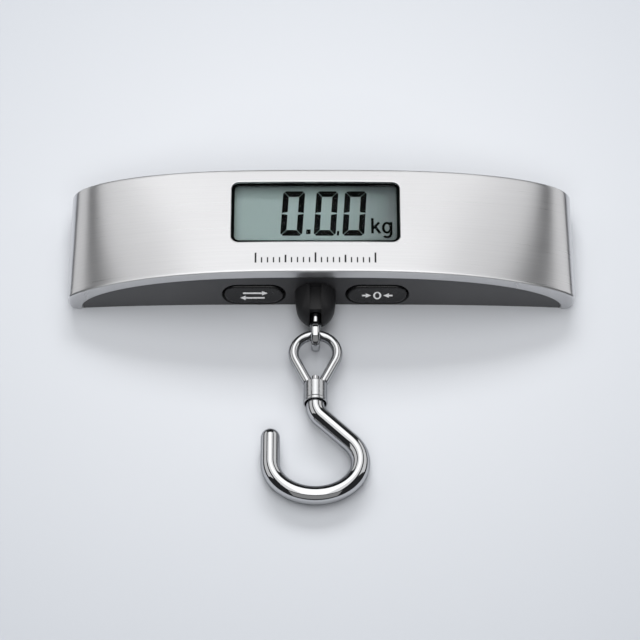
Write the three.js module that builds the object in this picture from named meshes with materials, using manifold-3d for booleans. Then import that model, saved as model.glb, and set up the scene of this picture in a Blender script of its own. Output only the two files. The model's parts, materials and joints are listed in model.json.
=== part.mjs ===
// Digital luggage scale: an arched bar with a brushed steel cover, a display on its crown,
// two keys on its underside and a swivel hook on an eye bolt.
// Millimetres. +Z is up with the bar lying on its flat back, X runs along the bar and the
// hook points to -Y. The origin is the middle of the flat back.

import * as THREE from 'three';
import { mergeVertices } from 'three/addons/utils/BufferGeometryUtils.js';
import Module from 'manifold-3d';

const wasm = await Module();
wasm.setup();

// ---- body ----
const HALF_LENGTH = 68;
const DEPTH = 35.6;
const HEIGHT = 14.8;
const NEAR_Y = -DEPTH / 2;
const FAR_Y = DEPTH / 2;
const CORNER = 3;
const MODULE_X = -1.6;
const PROFILE_ALONG = 2.6;
const PROFILE_UP = 4.1;
const SHOULDER_AT = 60;
const SHOULDER_DROP = 0.32;
const SHOULDER_POWER = 3.2;
const BOW_NEAR = 0.9;
const BOW_FAR = 2.2;
const BOW_POWER = 3;
const STATIONS = 32;
const END_FLAT = 0.05;
const GAP = 0.3;
const OVER = 1; // how far a cutting shape runs past what it cuts
const BOND = 0.1; // how far two joined shapes run into each other

// ---- cover and housing ----
const SHEET = 0.7;
const RIM_TOP = 2.8;
const RIM_END = 3.6;
const ARCH = { base: 0.9, along: 2.7, up: 1.95 };
const WALL = 1.6;
const PANEL_RECESS = 0.35;
const HOUSING_INSET = SHEET + 0.4;
const CAVITY_INSET = HOUSING_INSET + WALL;
const CAVITY_END = 5.6;
const PLATE = 1.8;

// ---- display ----
const WINDOW = { width: 45.4, depth: 20.8, radius: 2.2, y: 2.9 };
const LENS = { margin: 0.5, low: 12.6, high: 13.45, seatLow: 8 };
const GLASS = { width: 50, depth: 21.8, low: 10.2, step: 11.2, high: 12.3 };
const STRIP = { depth: 1.6, inset: 2 };
const FILM_INSET = 1;
const FRAME = { side: 1.3, edge: 0.75, low: 9 };
const BOARD = { left: -35, right: 31, near: -13.1, far: 13, low: 7.6, high: 8.6 };
const CHIP = { x: -16, y: 6, radius: 4.5, squash: 0.42 };
const CRYSTAL = { left: -9, right: -5.5, near: 3, far: 10.2, high: 2.6 };
const CAPACITOR = { radius: 2, high: 4.2, places: { left: [-25.5, 7], right: [9, 7.5] } };

// ---- keys ----
const KEY = { width: 16.6, height: 7.6, spacing: 33.1, z: 4.45, proud: 0.45, travel: 0.6 };
const KEY_FLANGE = { margin: 0.9, thick: 0.7, lower: 1 };
const SWITCH = { width: 6, depth: 3.6, low: 2.1, high: 7.1, front: -12.8, bore: 1.9, entry: 0.8 };

// ---- load train ----
const AXIS_Z = 5;
const BOSS = { length: 10.8, radius: 5.5, squash: 0.88, spigot: 3.4, holeSquash: 0.9 };
const bossSteps = [[0.4, 0.97], [0.65, 0.89], [0.8, 0.74], [0.93, 0.5], [1, 0.24]];
const BOSS_SLOT = { width: 3.2, depth: 3, grooveLow: 8 };
const CELL = { left: -7, right: 39, near: -7.8, far: -0.8, low: 3, high: 7, threadHigh: 6.2 };
const FLEXURE = { left: 10, right: 18, radius: 2.5, slit: 1.4 };
const GAUGE = { left: 8, right: 20, low: 3.6, high: 6.4 };
const RING = { radius: 3, wire: 1.05, y: -32.2 };
const STUD = { radius: 1.5, end: 2.8 };
const WASHER = { radius: 2.3, thick: 0.4 };
const NUT = { radius: 2.65, thick: 2 };
const EYE = { wire: 1.35, radius: 5.8, legX: 1.9, length: 15.4, pinGap: 0.35, pinGapAbove: 0.4 };
const HINGE_Y = -31.9;
const COLLAR = { radius: 3.2, length: 6.2, web: 1, ribLow: 2.5, ribHigh: 3.4, ribGap: 0.4 };
const SWIVEL = {
  neck: 1.7,
  neckLow: 1,
  head: 2.4,
  headLow: 3.7,
  headHigh: 4.8,
  pin: 0.95,
  pinOver: 2.2,
};
const SHANK_END = 2.2;
const HOOK_WIRE = 2.5;
const BOWL = { x: 11.75, y: 10.1, centre: -40.3 };
const DIAGONAL_FROM = 40;
const BEND_RADIUS = 5;
const TIP_REACH = 7.7;
const TIP_LEAD = 3;
const TIP_ROUND = 0.98;
const FLOOR_GAP = 0.02;

// ---- battery ----
const CELL_CENTRE = { x: -42, y: 0 };
const COIN = { radius: 10, low: 1.9, high: 5.1, step: 0.4, capInset: 1.6, capRoot: 0.2 };
const DOOR = { radius: 11.4, low: 0.3, thick: 1.2, rim: 0.9, top: 3 };
const COIN_SLOT = { reach: 6, half: 0.9, depth: 0.6 };
const TAB = { reach: 1.2, low: 2.1, root: 0.5, notch: 0.5, halfAngle: THREE.MathUtils.degToRad(12) };
const DOOR_TURN = THREE.MathUtils.degToRad(35);
const WELL = { inner: DOOR.radius + 1.7, outer: DOOR.radius + 2.5, high: 5.9, root: 0.5 };
const WELL_GATE = { from: 8, to: 18, near: -4.8, far: 4.5 };
const CONTACT = { thick: 0.4, half: 1.8, from: -4, to: 12, top: 7.3 };
const CLIP = { thick: 0.4, fromAngle: -0.35, toAngle: 0.14, high: 4.9 };
const CLIP_ARM = { from: 9.9, to: 12.4, near: -3.6, far: -3.1 };

// ---- leads: each runs from its contact or gauge up to the board ----
const PAD_DROP = 0.9;
const PAD_Z = BOARD.low - PAD_DROP;
const LEAD_SIDES = 8;
const leads = {
  load_cell_leads: {
    radius: 0.55,
    steps: 10,
    points: [[21, 0.6, 5], [18, 1.6, 5], [14, 4, 5.4], [14, 8, 6.1], [17, 10, PAD_Z]],
  },
  battery_lead_plus: {
    radius: 0.5,
    steps: 8,
    points: [[-28.8, -2.7, 4], [-27, -4, 4.4], [-24, -4.5, 5.4], [-21, -5, PAD_Z]],
  },
  battery_lead_minus: {
    radius: 0.5,
    steps: 8,
    points: [[-28.4, 0.5, 6.2], [-25, -0.5, 6.1], [-20, -1.5, PAD_Z]],
  },
};

// ---- fasteners ----
const SCREW = { shank: 0.65, head: 2, smallHead: 1.7, slit: 0.4, slitReach: 0.8, slitDepth: 0.35 };
const SINK_DEPTH = 1;
const POCKET_LOW = 0.9;
const POST = { radius: 2.3, pilot: 0.95, pilotDepth: 4.5, root: 0.4, boardLead: 1.6 };
const platePosts = [[-58, -8], [-58, 7], [56, -8], [56, 7]];
const boardPosts = [[-32, -10], [-32, 10], [28, -10], [28, 10]];
const bracketPosts = [[44.5, -7], [44.5, 6]];
const cellScrewPlaces = [29, 35].map((x) => [x, (CELL.near + CELL.far) / 2]);
const BRACKET = { left: 25.5, right: 48, near: -10.5, far: 9.5, low: PLATE + GAP, thick: 0.6 };
const BRACKET_HOLE = { left: 28, right: 40.5, near: 1.5, far: 7 };
const underCell = { low: BRACKET.low - GAP - 0.6, height: 0.6, radius: SCREW.smallHead };
const screwSets = {
  back_screw: { places: platePosts, low: 0.15, height: 0.6, radius: SCREW.head, tip: 5.5 },
  board_screw: { places: boardPosts, low: 6.4, height: 0.9, radius: SCREW.smallHead, tip: 10.2 },
  bracket_screw: { places: bracketPosts, ...underCell, tip: 6 },
  cell_screw: { places: cellScrewPlaces, ...underCell, tip: 5.9 },
};

const metal = (color, roughness) => ({ color, roughness, metalness: 1 });
const plain = (color, roughness) => ({ color, roughness, metalness: 0 });
const BRUSHED_STEEL = metal(0xc9cbcd, 0.32);
const CHROME = metal(0xe4e6e8, 0.08);
const ZINC = metal(0xa7abae, 0.4);
const ALUMINIUM = metal(0xb9bdc0, 0.45);
const GOLD = metal(0xc9a24b, 0.35);
const BLACK_PLASTIC = plain(0x2c2d30, 0.5);
const KEY_BLACK = plain(0x17181a, 0.3);
const CLEAR = plain(0xdfe8e8, 0.05);
const LCD_GREY = plain(0x92a3a2, 0.25);
const WHITE_FILM = plain(0xe8e8e4, 0.6);
const RUBBER_GREY = plain(0x55585a, 0.8);
const BOARD_GREEN = plain(0x1f5a36, 0.45);
const EPOXY = plain(0x111214, 0.35);
const GAUGE_FILM = plain(0xb06a2c, 0.4);
const RED_WIRE = plain(0xb02320, 0.5);
const BLACK_WIRE = plain(0x1b1b1c, 0.5);
const GREY_RIBBON = plain(0x8d9094, 0.55);

const product = new THREE.Group();

// ---- solids ----

function facesOut(vertices, triangles) {
  let volume = 0;
  const a = new THREE.Vector3();
  const b = new THREE.Vector3();
  const c = new THREE.Vector3();
  for (let i = 0; i < triangles.length; i += 3) {
    a.fromArray(vertices, 3 * triangles[i]);
    b.fromArray(vertices, 3 * triangles[i + 1]);
    c.fromArray(vertices, 3 * triangles[i + 2]);
    volume += a.dot(b.cross(c));
  }
  return volume > 0;
}

// A closed three.js geometry as a manifold solid.
function solid(geometry) {
  const bare = geometry.clone();
  bare.deleteAttribute('normal');
  bare.deleteAttribute('uv');
  const merged = mergeVertices(bare, 1e-4);
  const vertices = merged.attributes.position.array;
  const index = merged.index.array;
  const triangles = [];
  for (let i = 0; i < index.length; i += 3) {
    const [a, b, c] = [index[i], index[i + 1], index[i + 2]];
    if (a !== b && b !== c && c !== a) {
      triangles.push(a, b, c);
    }
  }
  if (!facesOut(vertices, triangles)) {
    triangles.reverse();
  }
  return new wasm.Manifold(new wasm.Mesh({
    numProp: 3,
    vertProperties: new Float32Array(vertices),
    triVerts: new Uint32Array(triangles),
  }));
}

function join(...geometries) {
  return geometries.map(asSolid).reduce((sum, piece) => sum.add(piece));
}

function cut(body, ...tools) {
  return tools.map(asSolid).reduce((left, tool) => left.subtract(tool), asSolid(body));
}

function asSolid(shape) {
  return shape.isBufferGeometry ? solid(shape) : shape;
}

function asGeometry(shape) {
  const mesh = asSolid(shape).getMesh();
  const geometry = new THREE.BufferGeometry();
  geometry.setAttribute('position', new THREE.BufferAttribute(mesh.vertProperties, 3));
  geometry.setIndex(new THREE.BufferAttribute(mesh.triVerts, 1));
  geometry.computeVertexNormals();
  return geometry;
}

function addPart(name, shape, look, parent = product) {
  const mesh = new THREE.Mesh(asGeometry(shape), new THREE.MeshStandardMaterial(look));
  mesh.name = name;
  parent.add(mesh);
  return mesh;
}

// ---- simple shapes ----

function box(x0, x1, y0, y1, z0, z1) {
  const geometry = new THREE.BoxGeometry(x1 - x0, y1 - y0, z1 - z0);
  return geometry.translate((x0 + x1) / 2, (y0 + y1) / 2, (z0 + z1) / 2);
}

function rodZ(x, y, z0, z1, radius, sides = 16) {
  const geometry = new THREE.CylinderGeometry(radius, radius, z1 - z0, sides);
  return geometry.rotateX(Math.PI / 2).translate(x, y, (z0 + z1) / 2);
}

function rodY(x, z, y0, y1, radius, sides = 16) {
  const geometry = new THREE.CylinderGeometry(radius, radius, y1 - y0, sides);
  return geometry.translate(x, (y0 + y1) / 2, z);
}

function stadium(width, height) {
  const radius = height / 2;
  const reach = width / 2 - radius;
  const shape = new THREE.Shape();
  shape.absarc(reach, 0, radius, -Math.PI / 2, Math.PI / 2);
  shape.absarc(-reach, 0, radius, Math.PI / 2, 3 * Math.PI / 2);
  shape.closePath();
  return shape;
}

function roundedRect(width, height, radius) {
  const x = width / 2 - radius;
  const y = height / 2 - radius;
  const shape = new THREE.Shape();
  shape.absarc(x, y, radius, 0, Math.PI / 2);
  shape.absarc(-x, y, radius, Math.PI / 2, Math.PI);
  shape.absarc(-x, -y, radius, Math.PI, 3 * Math.PI / 2);
  shape.absarc(x, -y, radius, 3 * Math.PI / 2, 2 * Math.PI);
  shape.closePath();
  return shape;
}

function extrudeZ(shape, x, y, z0, z1, curveSegments = 5) {
  const options = { depth: z1 - z0, bevelEnabled: false, curveSegments };
  return new THREE.ExtrudeGeometry(shape, options).translate(x, y, z0);
}

function extrudeY(shape, x, z, y0, y1, curveSegments = 8) {
  const options = { depth: y1 - y0, bevelEnabled: false, curveSegments };
  return new THREE.ExtrudeGeometry(shape, options).rotateX(Math.PI / 2).translate(x, y1, z);
}

function tube(points, radius, steps, sides) {
  const section = new THREE.Shape().absarc(0, 0, radius, 0, 2 * Math.PI);
  const extrudePath = new THREE.CatmullRomCurve3(points, false, 'centripetal');
  return new THREE.ExtrudeGeometry(section, { steps, curveSegments: sides / 2, extrudePath });
}

// ---- body form ----

// 0 at the far edge of the bar and 1 at the near edge, where the keys are.
function nearness(y) {
  return (FAR_Y - y) / DEPTH;
}

function bow(x, y) {
  const w = nearness(y);
  return -(w * BOW_NEAR + (1 - w) * BOW_FAR) * Math.abs(x / SHOULDER_AT) ** BOW_POWER;
}

// 0 at the display's middle and 1 at either end of a form drawn in by end.
function towardsEnd(x, end) {
  const reach = HALF_LENGTH - end + (x < MODULE_X ? MODULE_X : -MODULE_X);
  return Math.min(1, Math.abs(x - MODULE_X) / reach);
}

function crown(x, y, end, top) {
  const along = towardsEnd(x, end);
  const rise = (HEIGHT - top - CORNER) * (1 - along ** PROFILE_ALONG) ** (1 / PROFILE_UP);
  const drop = SHOULDER_DROP * nearness(y) * Math.abs(x / SHOULDER_AT) ** SHOULDER_POWER;
  return CORNER + rise * (1 - drop);
}

// The outline of the front and back panels, which the cover's rim follows.
function arch(x, y, end, top) {
  const along = towardsEnd(x, end);
  return ARCH.base + (HEIGHT - top - ARCH.base) * (1 - along ** ARCH.along) ** (1 / ARCH.up);
}

function underside(x, inset) {
  const past = Math.abs(x) - (HALF_LENGTH - CORNER);
  if (past <= 0) {
    return inset;
  }
  return CORNER - Math.sqrt(Math.max(0, (CORNER - inset) ** 2 - past ** 2));
}

// The bar's form, drawn in by end, top, near and far. A floor replaces its curved underside.
function barForm({ end, top, near, far, floor, roof = crown }) {
  const geometry = new THREE.BoxGeometry(2, 2, 2, STATIONS, 1, 1);
  const position = geometry.attributes.position;
  for (let i = 0; i < position.count; i += 1) {
    const turn = Math.sin(position.getX(i) * Math.PI / 2);
    const x = turn * (HALF_LENGTH - end - END_FLAT);
    const y = position.getY(i) < 0 ? NEAR_Y + near : FAR_Y - far;
    const low = floor === undefined ? underside(x, end) : floor;
    const z = position.getZ(i) > 0 ? roof(x, y, end, top) : low;
    position.setXYZ(i, x, y + bow(x, y), z);
  }
  return geometry;
}

function evenForm(inset) {
  return barForm({ end: inset, top: inset, near: inset, far: inset });
}

// ---- cover and housing ----

const windowShape = (grow) => roundedRect(
  WINDOW.width + 2 * grow,
  WINDOW.depth + 2 * grow,
  WINDOW.radius + grow,
);
const keyPlaces = {
  unit: MODULE_X - KEY.spacing / 2,
  tare: MODULE_X + KEY.spacing / 2,
};

function steelCover() {
  const rimOpening = barForm({
    end: RIM_END,
    top: RIM_TOP,
    near: -OVER,
    far: -OVER,
    floor: -OVER,
    roof: arch,
  });
  const window = extrudeZ(windowShape(0), MODULE_X, WINDOW.y, LENS.seatLow, HEIGHT + OVER);
  return cut(evenForm(0), evenForm(SHEET), rimOpening, window);
}

// The nose that the eye bolt comes out of. Its spigot is bonded into the front wall.
function hookBoss() {
  const faceY = PANEL_RECESS - GAP;
  const profile = [
    new THREE.Vector2(0, CAVITY_INSET),
    new THREE.Vector2(BOSS.spigot, CAVITY_INSET),
    new THREE.Vector2(BOSS.spigot, faceY),
    new THREE.Vector2(BOSS.radius, faceY),
    ...bossSteps.map(([along, wide]) => (
      new THREE.Vector2(BOSS.radius * wide, -BOSS.length * along))),
    new THREE.Vector2(0, -BOSS.length),
  ];
  const nose = new THREE.LatheGeometry(profile, 28);
  nose.scale(1, 1, BOSS.squash).translate(MODULE_X, NEAR_Y, AXIS_Z);
  const noseY = NEAR_Y - BOSS.length;
  const half = BOSS_SLOT.width / 2;
  const [left, right] = [MODULE_X - half, MODULE_X + half];
  const slot = box(left, right, noseY - OVER, noseY + BOSS_SLOT.depth, -OVER, HEIGHT);
  const groove = box(left, right, noseY - OVER, NEAR_Y, BOSS_SLOT.grooveLow, HEIGHT);
  const bore = rodY(MODULE_X, AXIS_Z, noseY - OVER, FAR_Y, STUD.radius + GAP);
  return cut(nose, slot, groove, bore);
}

function post([x, y], low) {
  return rodZ(x, y, low, crown(x, y, CAVITY_INSET, CAVITY_INSET) + POST.root, POST.radius, 10);
}

function pilot([x, y], low) {
  return rodZ(x, y, low - OVER, low + POST.pilotDepth, POST.pilot, 8);
}

function frontHousing() {
  const shell = evenForm(HOUSING_INSET);
  const panels = barForm({
    end: RIM_END + GAP,
    top: RIM_TOP + GAP,
    near: PANEL_RECESS,
    far: PANEL_RECESS,
    floor: 0,
    roof: arch,
  });
  const cavity = barForm({
    end: CAVITY_END,
    top: CAVITY_INSET,
    near: CAVITY_INSET,
    far: CAVITY_INSET,
    floor: -OVER,
  });
  const lows = {
    plate: PLATE + GAP,
    board: BOARD.high + GAP,
    bracket: BRACKET.low + BRACKET.thick + GAP,
  };
  const posts = [
    ...platePosts.map((place) => post(place, lows.plate)),
    ...boardPosts.map((place) => post(place, lows.board)),
    ...bracketPosts.map((place) => post(place, lows.bracket)),
  ];
  const pilots = [
    ...platePosts.map((place) => pilot(place, lows.plate)),
    ...boardPosts.map((place) => pilot(place, lows.board - POST.boardLead)),
    ...bracketPosts.map((place) => pilot(place, lows.bracket)),
  ];
  const keyHole = stadium(KEY.width + 2 * GAP, KEY.height + 2 * GAP);
  const wallBack = NEAR_Y + CAVITY_INSET + OVER;
  const holes = Object.values(keyPlaces).map((x) => (
    extrudeY(keyHole, x, KEY.z, NEAR_Y - OVER, wallBack)));
  const spigotHole = rodY(MODULE_X, 0, NEAR_Y - OVER, wallBack, BOSS.spigot + GAP, 28);
  spigotHole.scale(1, 1, BOSS.holeSquash).translate(0, 0, AXIS_Z);
  const seatShape = windowShape(LENS.margin + GAP);
  const lensSeat = extrudeZ(seatShape, MODULE_X, WINDOW.y, LENS.seatLow, HEIGHT);
  const hollow = cut(join(shell, panels), cavity);
  return cut(join(hollow, ...posts), ...pilots, ...holes, spigotHole, lensSeat);
}

function backCover() {
  const { x: wellX, y: wellY } = CELL_CENTRE;
  const inset = CAVITY_INSET + GAP;
  const form = { end: CAVITY_END + GAP, top: HEIGHT - CORNER, near: inset, far: inset, floor: 0 };
  const slab = box(-HALF_LENGTH, HALF_LENGTH, NEAR_Y - OVER, FAR_Y + OVER, -OVER, PLATE);
  const plate = asSolid(barForm(form)).intersect(asSolid(slab));
  const gate = WELL_GATE;
  const wellOver = WELL.high + OVER;
  const plateOver = PLATE + OVER;
  const well = cut(
    rodZ(wellX, wellY, PLATE - WELL.root, WELL.high, WELL.outer, 32),
    rodZ(wellX, wellY, PLATE, wellOver, WELL.inner, 32),
    box(wellX + gate.from, wellX + gate.to, gate.near, gate.far, PLATE, wellOver),
  );
  const keyRoomDepth = CAVITY_INSET + 2 * GAP + KEY_FLANGE.thick + KEY.travel;
  const keyRoom = Object.values(keyPlaces).map((x) => {
    const half = KEY.width / 2 + KEY_FLANGE.margin + GAP;
    return box(x - half, x + half, NEAR_Y, NEAR_Y + keyRoomDepth, -OVER, plateOver);
  });
  const sinks = platePosts.map(([x, y]) => (
    rodZ(x, y, -OVER, SINK_DEPTH, SCREW.head + GAP, 14)));
  const shanks = platePosts.map(([x, y]) => (
    rodZ(x, y, -OVER, plateOver, SCREW.shank + GAP, 10)));
  const headPockets = [...bracketPosts, ...cellScrewPlaces].map(([x, y]) => (
    rodZ(x, y, POCKET_LOW, plateOver, SCREW.smallHead + GAP, 12)));
  const notches = [0, 1].map((side) => (
    tab(doorTabAngle(side) - DOOR_TURN, TAB.notch, -OVER, plateOver)));
  const doorHole = rodZ(wellX, wellY, -OVER, plateOver, DOOR.radius + GAP, 40);
  const tools = [doorHole, ...keyRoom, ...sinks, ...shanks, ...headPockets, ...notches];
  return cut(join(plate, well), ...tools);
}

// ---- battery compartment ----

function doorTabAngle(side) {
  return Math.PI / 2 + side * Math.PI;
}

function sector(inner, outer, angle, half) {
  const shape = new THREE.Shape();
  shape.absarc(0, 0, outer, angle - half, angle + half);
  shape.absarc(0, 0, inner, angle + half, angle - half, true);
  shape.closePath();
  return shape;
}

function tab(angle, grow, z0, z1) {
  const half = TAB.halfAngle + grow / DOOR.radius;
  const inner = DOOR.radius - TAB.root;
  const shape = sector(inner, DOOR.radius + TAB.reach + grow, angle, half);
  return extrudeZ(shape, CELL_CENTRE.x, CELL_CENTRE.y, z0, z1, 5);
}

function batteryDoor() {
  const { x, y } = CELL_CENTRE;
  const disc = rodZ(x, y, DOOR.low, DOOR.top, DOOR.radius, 40);
  const pocketLow = DOOR.low + DOOR.thick;
  const pocket = rodZ(x, y, pocketLow, DOOR.top + OVER, DOOR.radius - DOOR.rim, 32);
  const { reach, half, depth } = COIN_SLOT;
  const coinSlot = box(x - reach, x + reach, y - half, y + half, -OVER, DOOR.low + depth);
  const tabs = [0, 1].map((side) => tab(doorTabAngle(side), 0, TAB.low, DOOR.top));
  return cut(join(cut(disc, pocket), ...tabs), coinSlot);
}

function batteryParts() {
  const { x, y } = CELL_CENTRE;
  const stepZ = COIN.high - COIN.step;
  const can = rodZ(x, y, COIN.low, stepZ, COIN.radius, 32);
  const cap = rodZ(x, y, stepZ - COIN.capRoot, COIN.high, COIN.radius - COIN.capInset, 32);
  addPart('battery_cell', join(can, cap), ZINC);
  const touch = COIN.high + GAP;
  const [near, far] = [y - CONTACT.half, y + CONTACT.half];
  const end = x + CONTACT.to;
  const arm = box(x + CONTACT.from, end, near, far, touch, touch + CONTACT.thick);
  const foot = box(end - CONTACT.thick, end, near, far, touch, CONTACT.top);
  addPart('contact_negative', join(arm, foot), GOLD);
  const inner = COIN.radius + GAP;
  const clip = sector(inner, inner + CLIP.thick, CLIP.fromAngle, CLIP.toAngle);
  const low = DOOR.top + GAP;
  const arc = extrudeZ(clip, x, y, low, CLIP.high, 6);
  const { from, to } = CLIP_ARM;
  const clipArm = box(x + from, x + to, y + CLIP_ARM.near, y + CLIP_ARM.far, low, CLIP.high);
  addPart('contact_positive', join(arc, clipArm), GOLD);
  addPart('battery_door', batteryDoor(), BLACK_PLASTIC);
}

// ---- display ----

function displayParts() {
  const lens = extrudeZ(windowShape(LENS.margin), MODULE_X, WINDOW.y, LENS.low, LENS.high);
  addPart('display_lens', lens, CLEAR);
  const halfWidth = GLASS.width / 2;
  const [left, right] = [MODULE_X - halfWidth, MODULE_X + halfWidth];
  const near = WINDOW.y - GLASS.depth / 2;
  const far = WINDOW.y + GLASS.depth / 2;
  const back = box(left, right, near, far, GLASS.low, GLASS.step);
  const frontShape = windowShape(LENS.margin);
  const front = extrudeZ(frontShape, MODULE_X, WINDOW.y, GLASS.step - BOND, GLASS.high);
  addPart('lcd_glass', join(back, front), LCD_GREY);
  const filmInset = STRIP.depth + 2 * GAP;
  const filmLow = GLASS.low - 2 * GAP;
  const film = box(
    left + FILM_INSET,
    right - FILM_INSET,
    near + filmInset,
    far - filmInset,
    filmLow,
    filmLow + GAP,
  );
  addPart('lcd_reflector', film, WHITE_FILM);
  const stripFrom = { near, far: far - STRIP.depth };
  const [stripLeft, stripRight] = [left + STRIP.inset, right - STRIP.inset];
  Object.entries(stripFrom).forEach(([side, y]) => {
    const [low, high] = [BOARD.high + GAP, GLASS.low - GAP];
    const strip = box(stripLeft, stripRight, y, y + STRIP.depth, low, high);
    addPart(`contact_strip_${side}`, strip, RUBBER_GREY);
  });
  const frameOuter = box(
    left - FRAME.side,
    right + FRAME.side,
    near - FRAME.edge,
    far + FRAME.edge,
    FRAME.low,
    GLASS.step,
  );
  const frameInner = box(left - GAP, right + GAP, near - GAP, far + GAP, 0, HEIGHT);
  addPart('lcd_frame', cut(frameOuter, frameInner), BLACK_PLASTIC);
}

// ---- electronics ----

function boardParts() {
  const holes = boardPosts.map(([x, y]) => (
    rodZ(x, y, BOARD.low - OVER, BOARD.high + OVER, SCREW.shank + GAP, 10)));
  const plate = box(BOARD.left, BOARD.right, BOARD.near, BOARD.far, BOARD.low, BOARD.high);
  addPart('circuit_board', cut(plate, ...holes), BOARD_GREEN);
  const under = BOARD.low - GAP;
  const dome = new THREE.SphereGeometry(CHIP.radius, 16, 8).scale(1, 1, CHIP.squash);
  const above = box(-CHIP.radius, CHIP.radius, -CHIP.radius, CHIP.radius, 0, CHIP.radius);
  const blob = cut(dome, above).translate([CHIP.x, CHIP.y, under]);
  addPart('controller_chip', blob, EPOXY);
  const { left, right, near, far, high } = CRYSTAL;
  addPart('crystal_can', box(left, right, near, far, under - high, under), ZINC);
  Object.entries(CAPACITOR.places).forEach(([side, [x, y]]) => {
    const can = rodZ(x, y, under - CAPACITOR.high, under, CAPACITOR.radius, 14);
    addPart(`capacitor_${side}`, can, EPOXY);
  });
}

function keyParts(name, x) {
  const front = NEAR_Y + PANEL_RECESS - KEY.proud;
  const wallInside = NEAR_Y + CAVITY_INSET;
  const flangeFront = wallInside + GAP;
  const flangeBack = flangeFront + KEY_FLANGE.thick;
  const flange = stadium(KEY.width + 2 * KEY_FLANGE.margin, KEY.height - KEY_FLANGE.lower);
  const cap = extrudeY(stadium(KEY.width, KEY.height), x, KEY.z, front, flangeFront + BOND);
  const stop = extrudeY(flange, x, KEY.z, flangeFront, flangeBack);
  const keyBody = new THREE.Group();
  product.add(keyBody);
  addPart(`${name}_button`, join(cap, stop), KEY_BLACK, keyBody);
  const plungerBack = SWITCH.front + SWITCH.entry;
  const plunger = rodY(x, KEY.z, flangeBack + GAP, plungerBack, SWITCH.bore - GAP, 14);
  addPart(`${name}_switch_plunger`, plunger, EPOXY, keyBody);
  const half = SWITCH.width / 2;
  const back = SWITCH.front + SWITCH.depth;
  const block = box(x - half, x + half, SWITCH.front, back, SWITCH.low, SWITCH.high);
  const boreEnd = plungerBack + KEY.travel + 2 * GAP;
  const bore = rodY(x, KEY.z, SWITCH.front - OVER, boreEnd, SWITCH.bore, 16);
  addPart(`${name}_switch`, cut(block, bore), ZINC);
}

function leadParts() {
  const looks = {
    load_cell_leads: GREY_RIBBON,
    battery_lead_plus: RED_WIRE,
    battery_lead_minus: BLACK_WIRE,
  };
  Object.entries(leads).forEach(([name, { radius, steps, points }]) => {
    const path = points.map((point) => new THREE.Vector3(...point));
    addPart(name, tube(path, radius, steps, LEAD_SIDES), looks[name]);
  });
}

// ---- load cell ----

function loadCellParts() {
  const middleY = (CELL.near + CELL.far) / 2;
  const bar = box(CELL.left, CELL.right, CELL.near, CELL.far, CELL.low, CELL.high);
  const [low, high] = [CELL.low - OVER, CELL.high + OVER];
  const pockets = [FLEXURE.left, FLEXURE.right].map((x) => (
    rodZ(x, middleY, low, high, FLEXURE.radius, 16)));
  const half = FLEXURE.slit / 2;
  const slit = box(FLEXURE.left, FLEXURE.right, middleY - half, middleY + half, low, high);
  const studBore = STUD.radius + GAP;
  const studHole = rodY(MODULE_X, AXIS_Z, CELL.near - OVER, CELL.far + OVER, studBore, 14);
  const screwHoles = cellScrewPlaces.map(([x, y]) => (
    rodZ(x, y, low, CELL.threadHigh, SCREW.shank + GAP, 10)));
  addPart('load_cell', cut(bar, ...pockets, slit, studHole, ...screwHoles), ALUMINIUM);
  const gauge = (y0, y1) => box(GAUGE.left, GAUGE.right, y0, y1, GAUGE.low, GAUGE.high);
  addPart('strain_gauge_near', gauge(CELL.near - 2 * GAP, CELL.near - GAP), GAUGE_FILM);
  addPart('strain_gauge_far', gauge(CELL.far + GAP, CELL.far + 2 * GAP), GAUGE_FILM);
  const { left, right, near, far } = BRACKET;
  const [plateLow, plateHigh] = [BRACKET.low, BRACKET.low + BRACKET.thick];
  const bracket = box(left, right, near, far, plateLow, plateHigh);
  const lightening = box(
    BRACKET_HOLE.left,
    BRACKET_HOLE.right,
    BRACKET_HOLE.near,
    BRACKET_HOLE.far,
    plateLow - OVER,
    plateHigh + OVER,
  );
  const clearances = [...cellScrewPlaces, ...bracketPosts].map(([x, y]) => (
    rodZ(x, y, plateLow - OVER, plateHigh + OVER, SCREW.shank + GAP, 10)));
  addPart('cell_bracket', cut(bracket, lightening, ...clearances), ZINC);
}

// A cross-head screw that points up. low is the bottom of its head, and tip its top end.
function screw([x, y], { low, height, radius, tip }) {
  const head = rodZ(x, y, low, low + height, radius, 12);
  const shank = rodZ(x, y, low + height - BOND, tip, SCREW.shank, 8);
  const reach = SCREW.slitReach;
  const half = SCREW.slit / 2;
  const slitTop = low + SCREW.slitDepth;
  const slitLong = box(x - reach, x + reach, y - half, y + half, low - OVER, slitTop);
  const slitWide = box(x - half, x + half, y - reach, y + reach, low - OVER, slitTop);
  return cut(join(head, shank), slitLong, slitWide);
}

function screwParts() {
  Object.entries(screwSets).forEach(([name, { places, ...sizes }]) => {
    places.forEach((place, i) => addPart(`${name}_${i + 1}`, screw(place, sizes), ZINC));
  });
}

// ---- eye bolt ----

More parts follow.
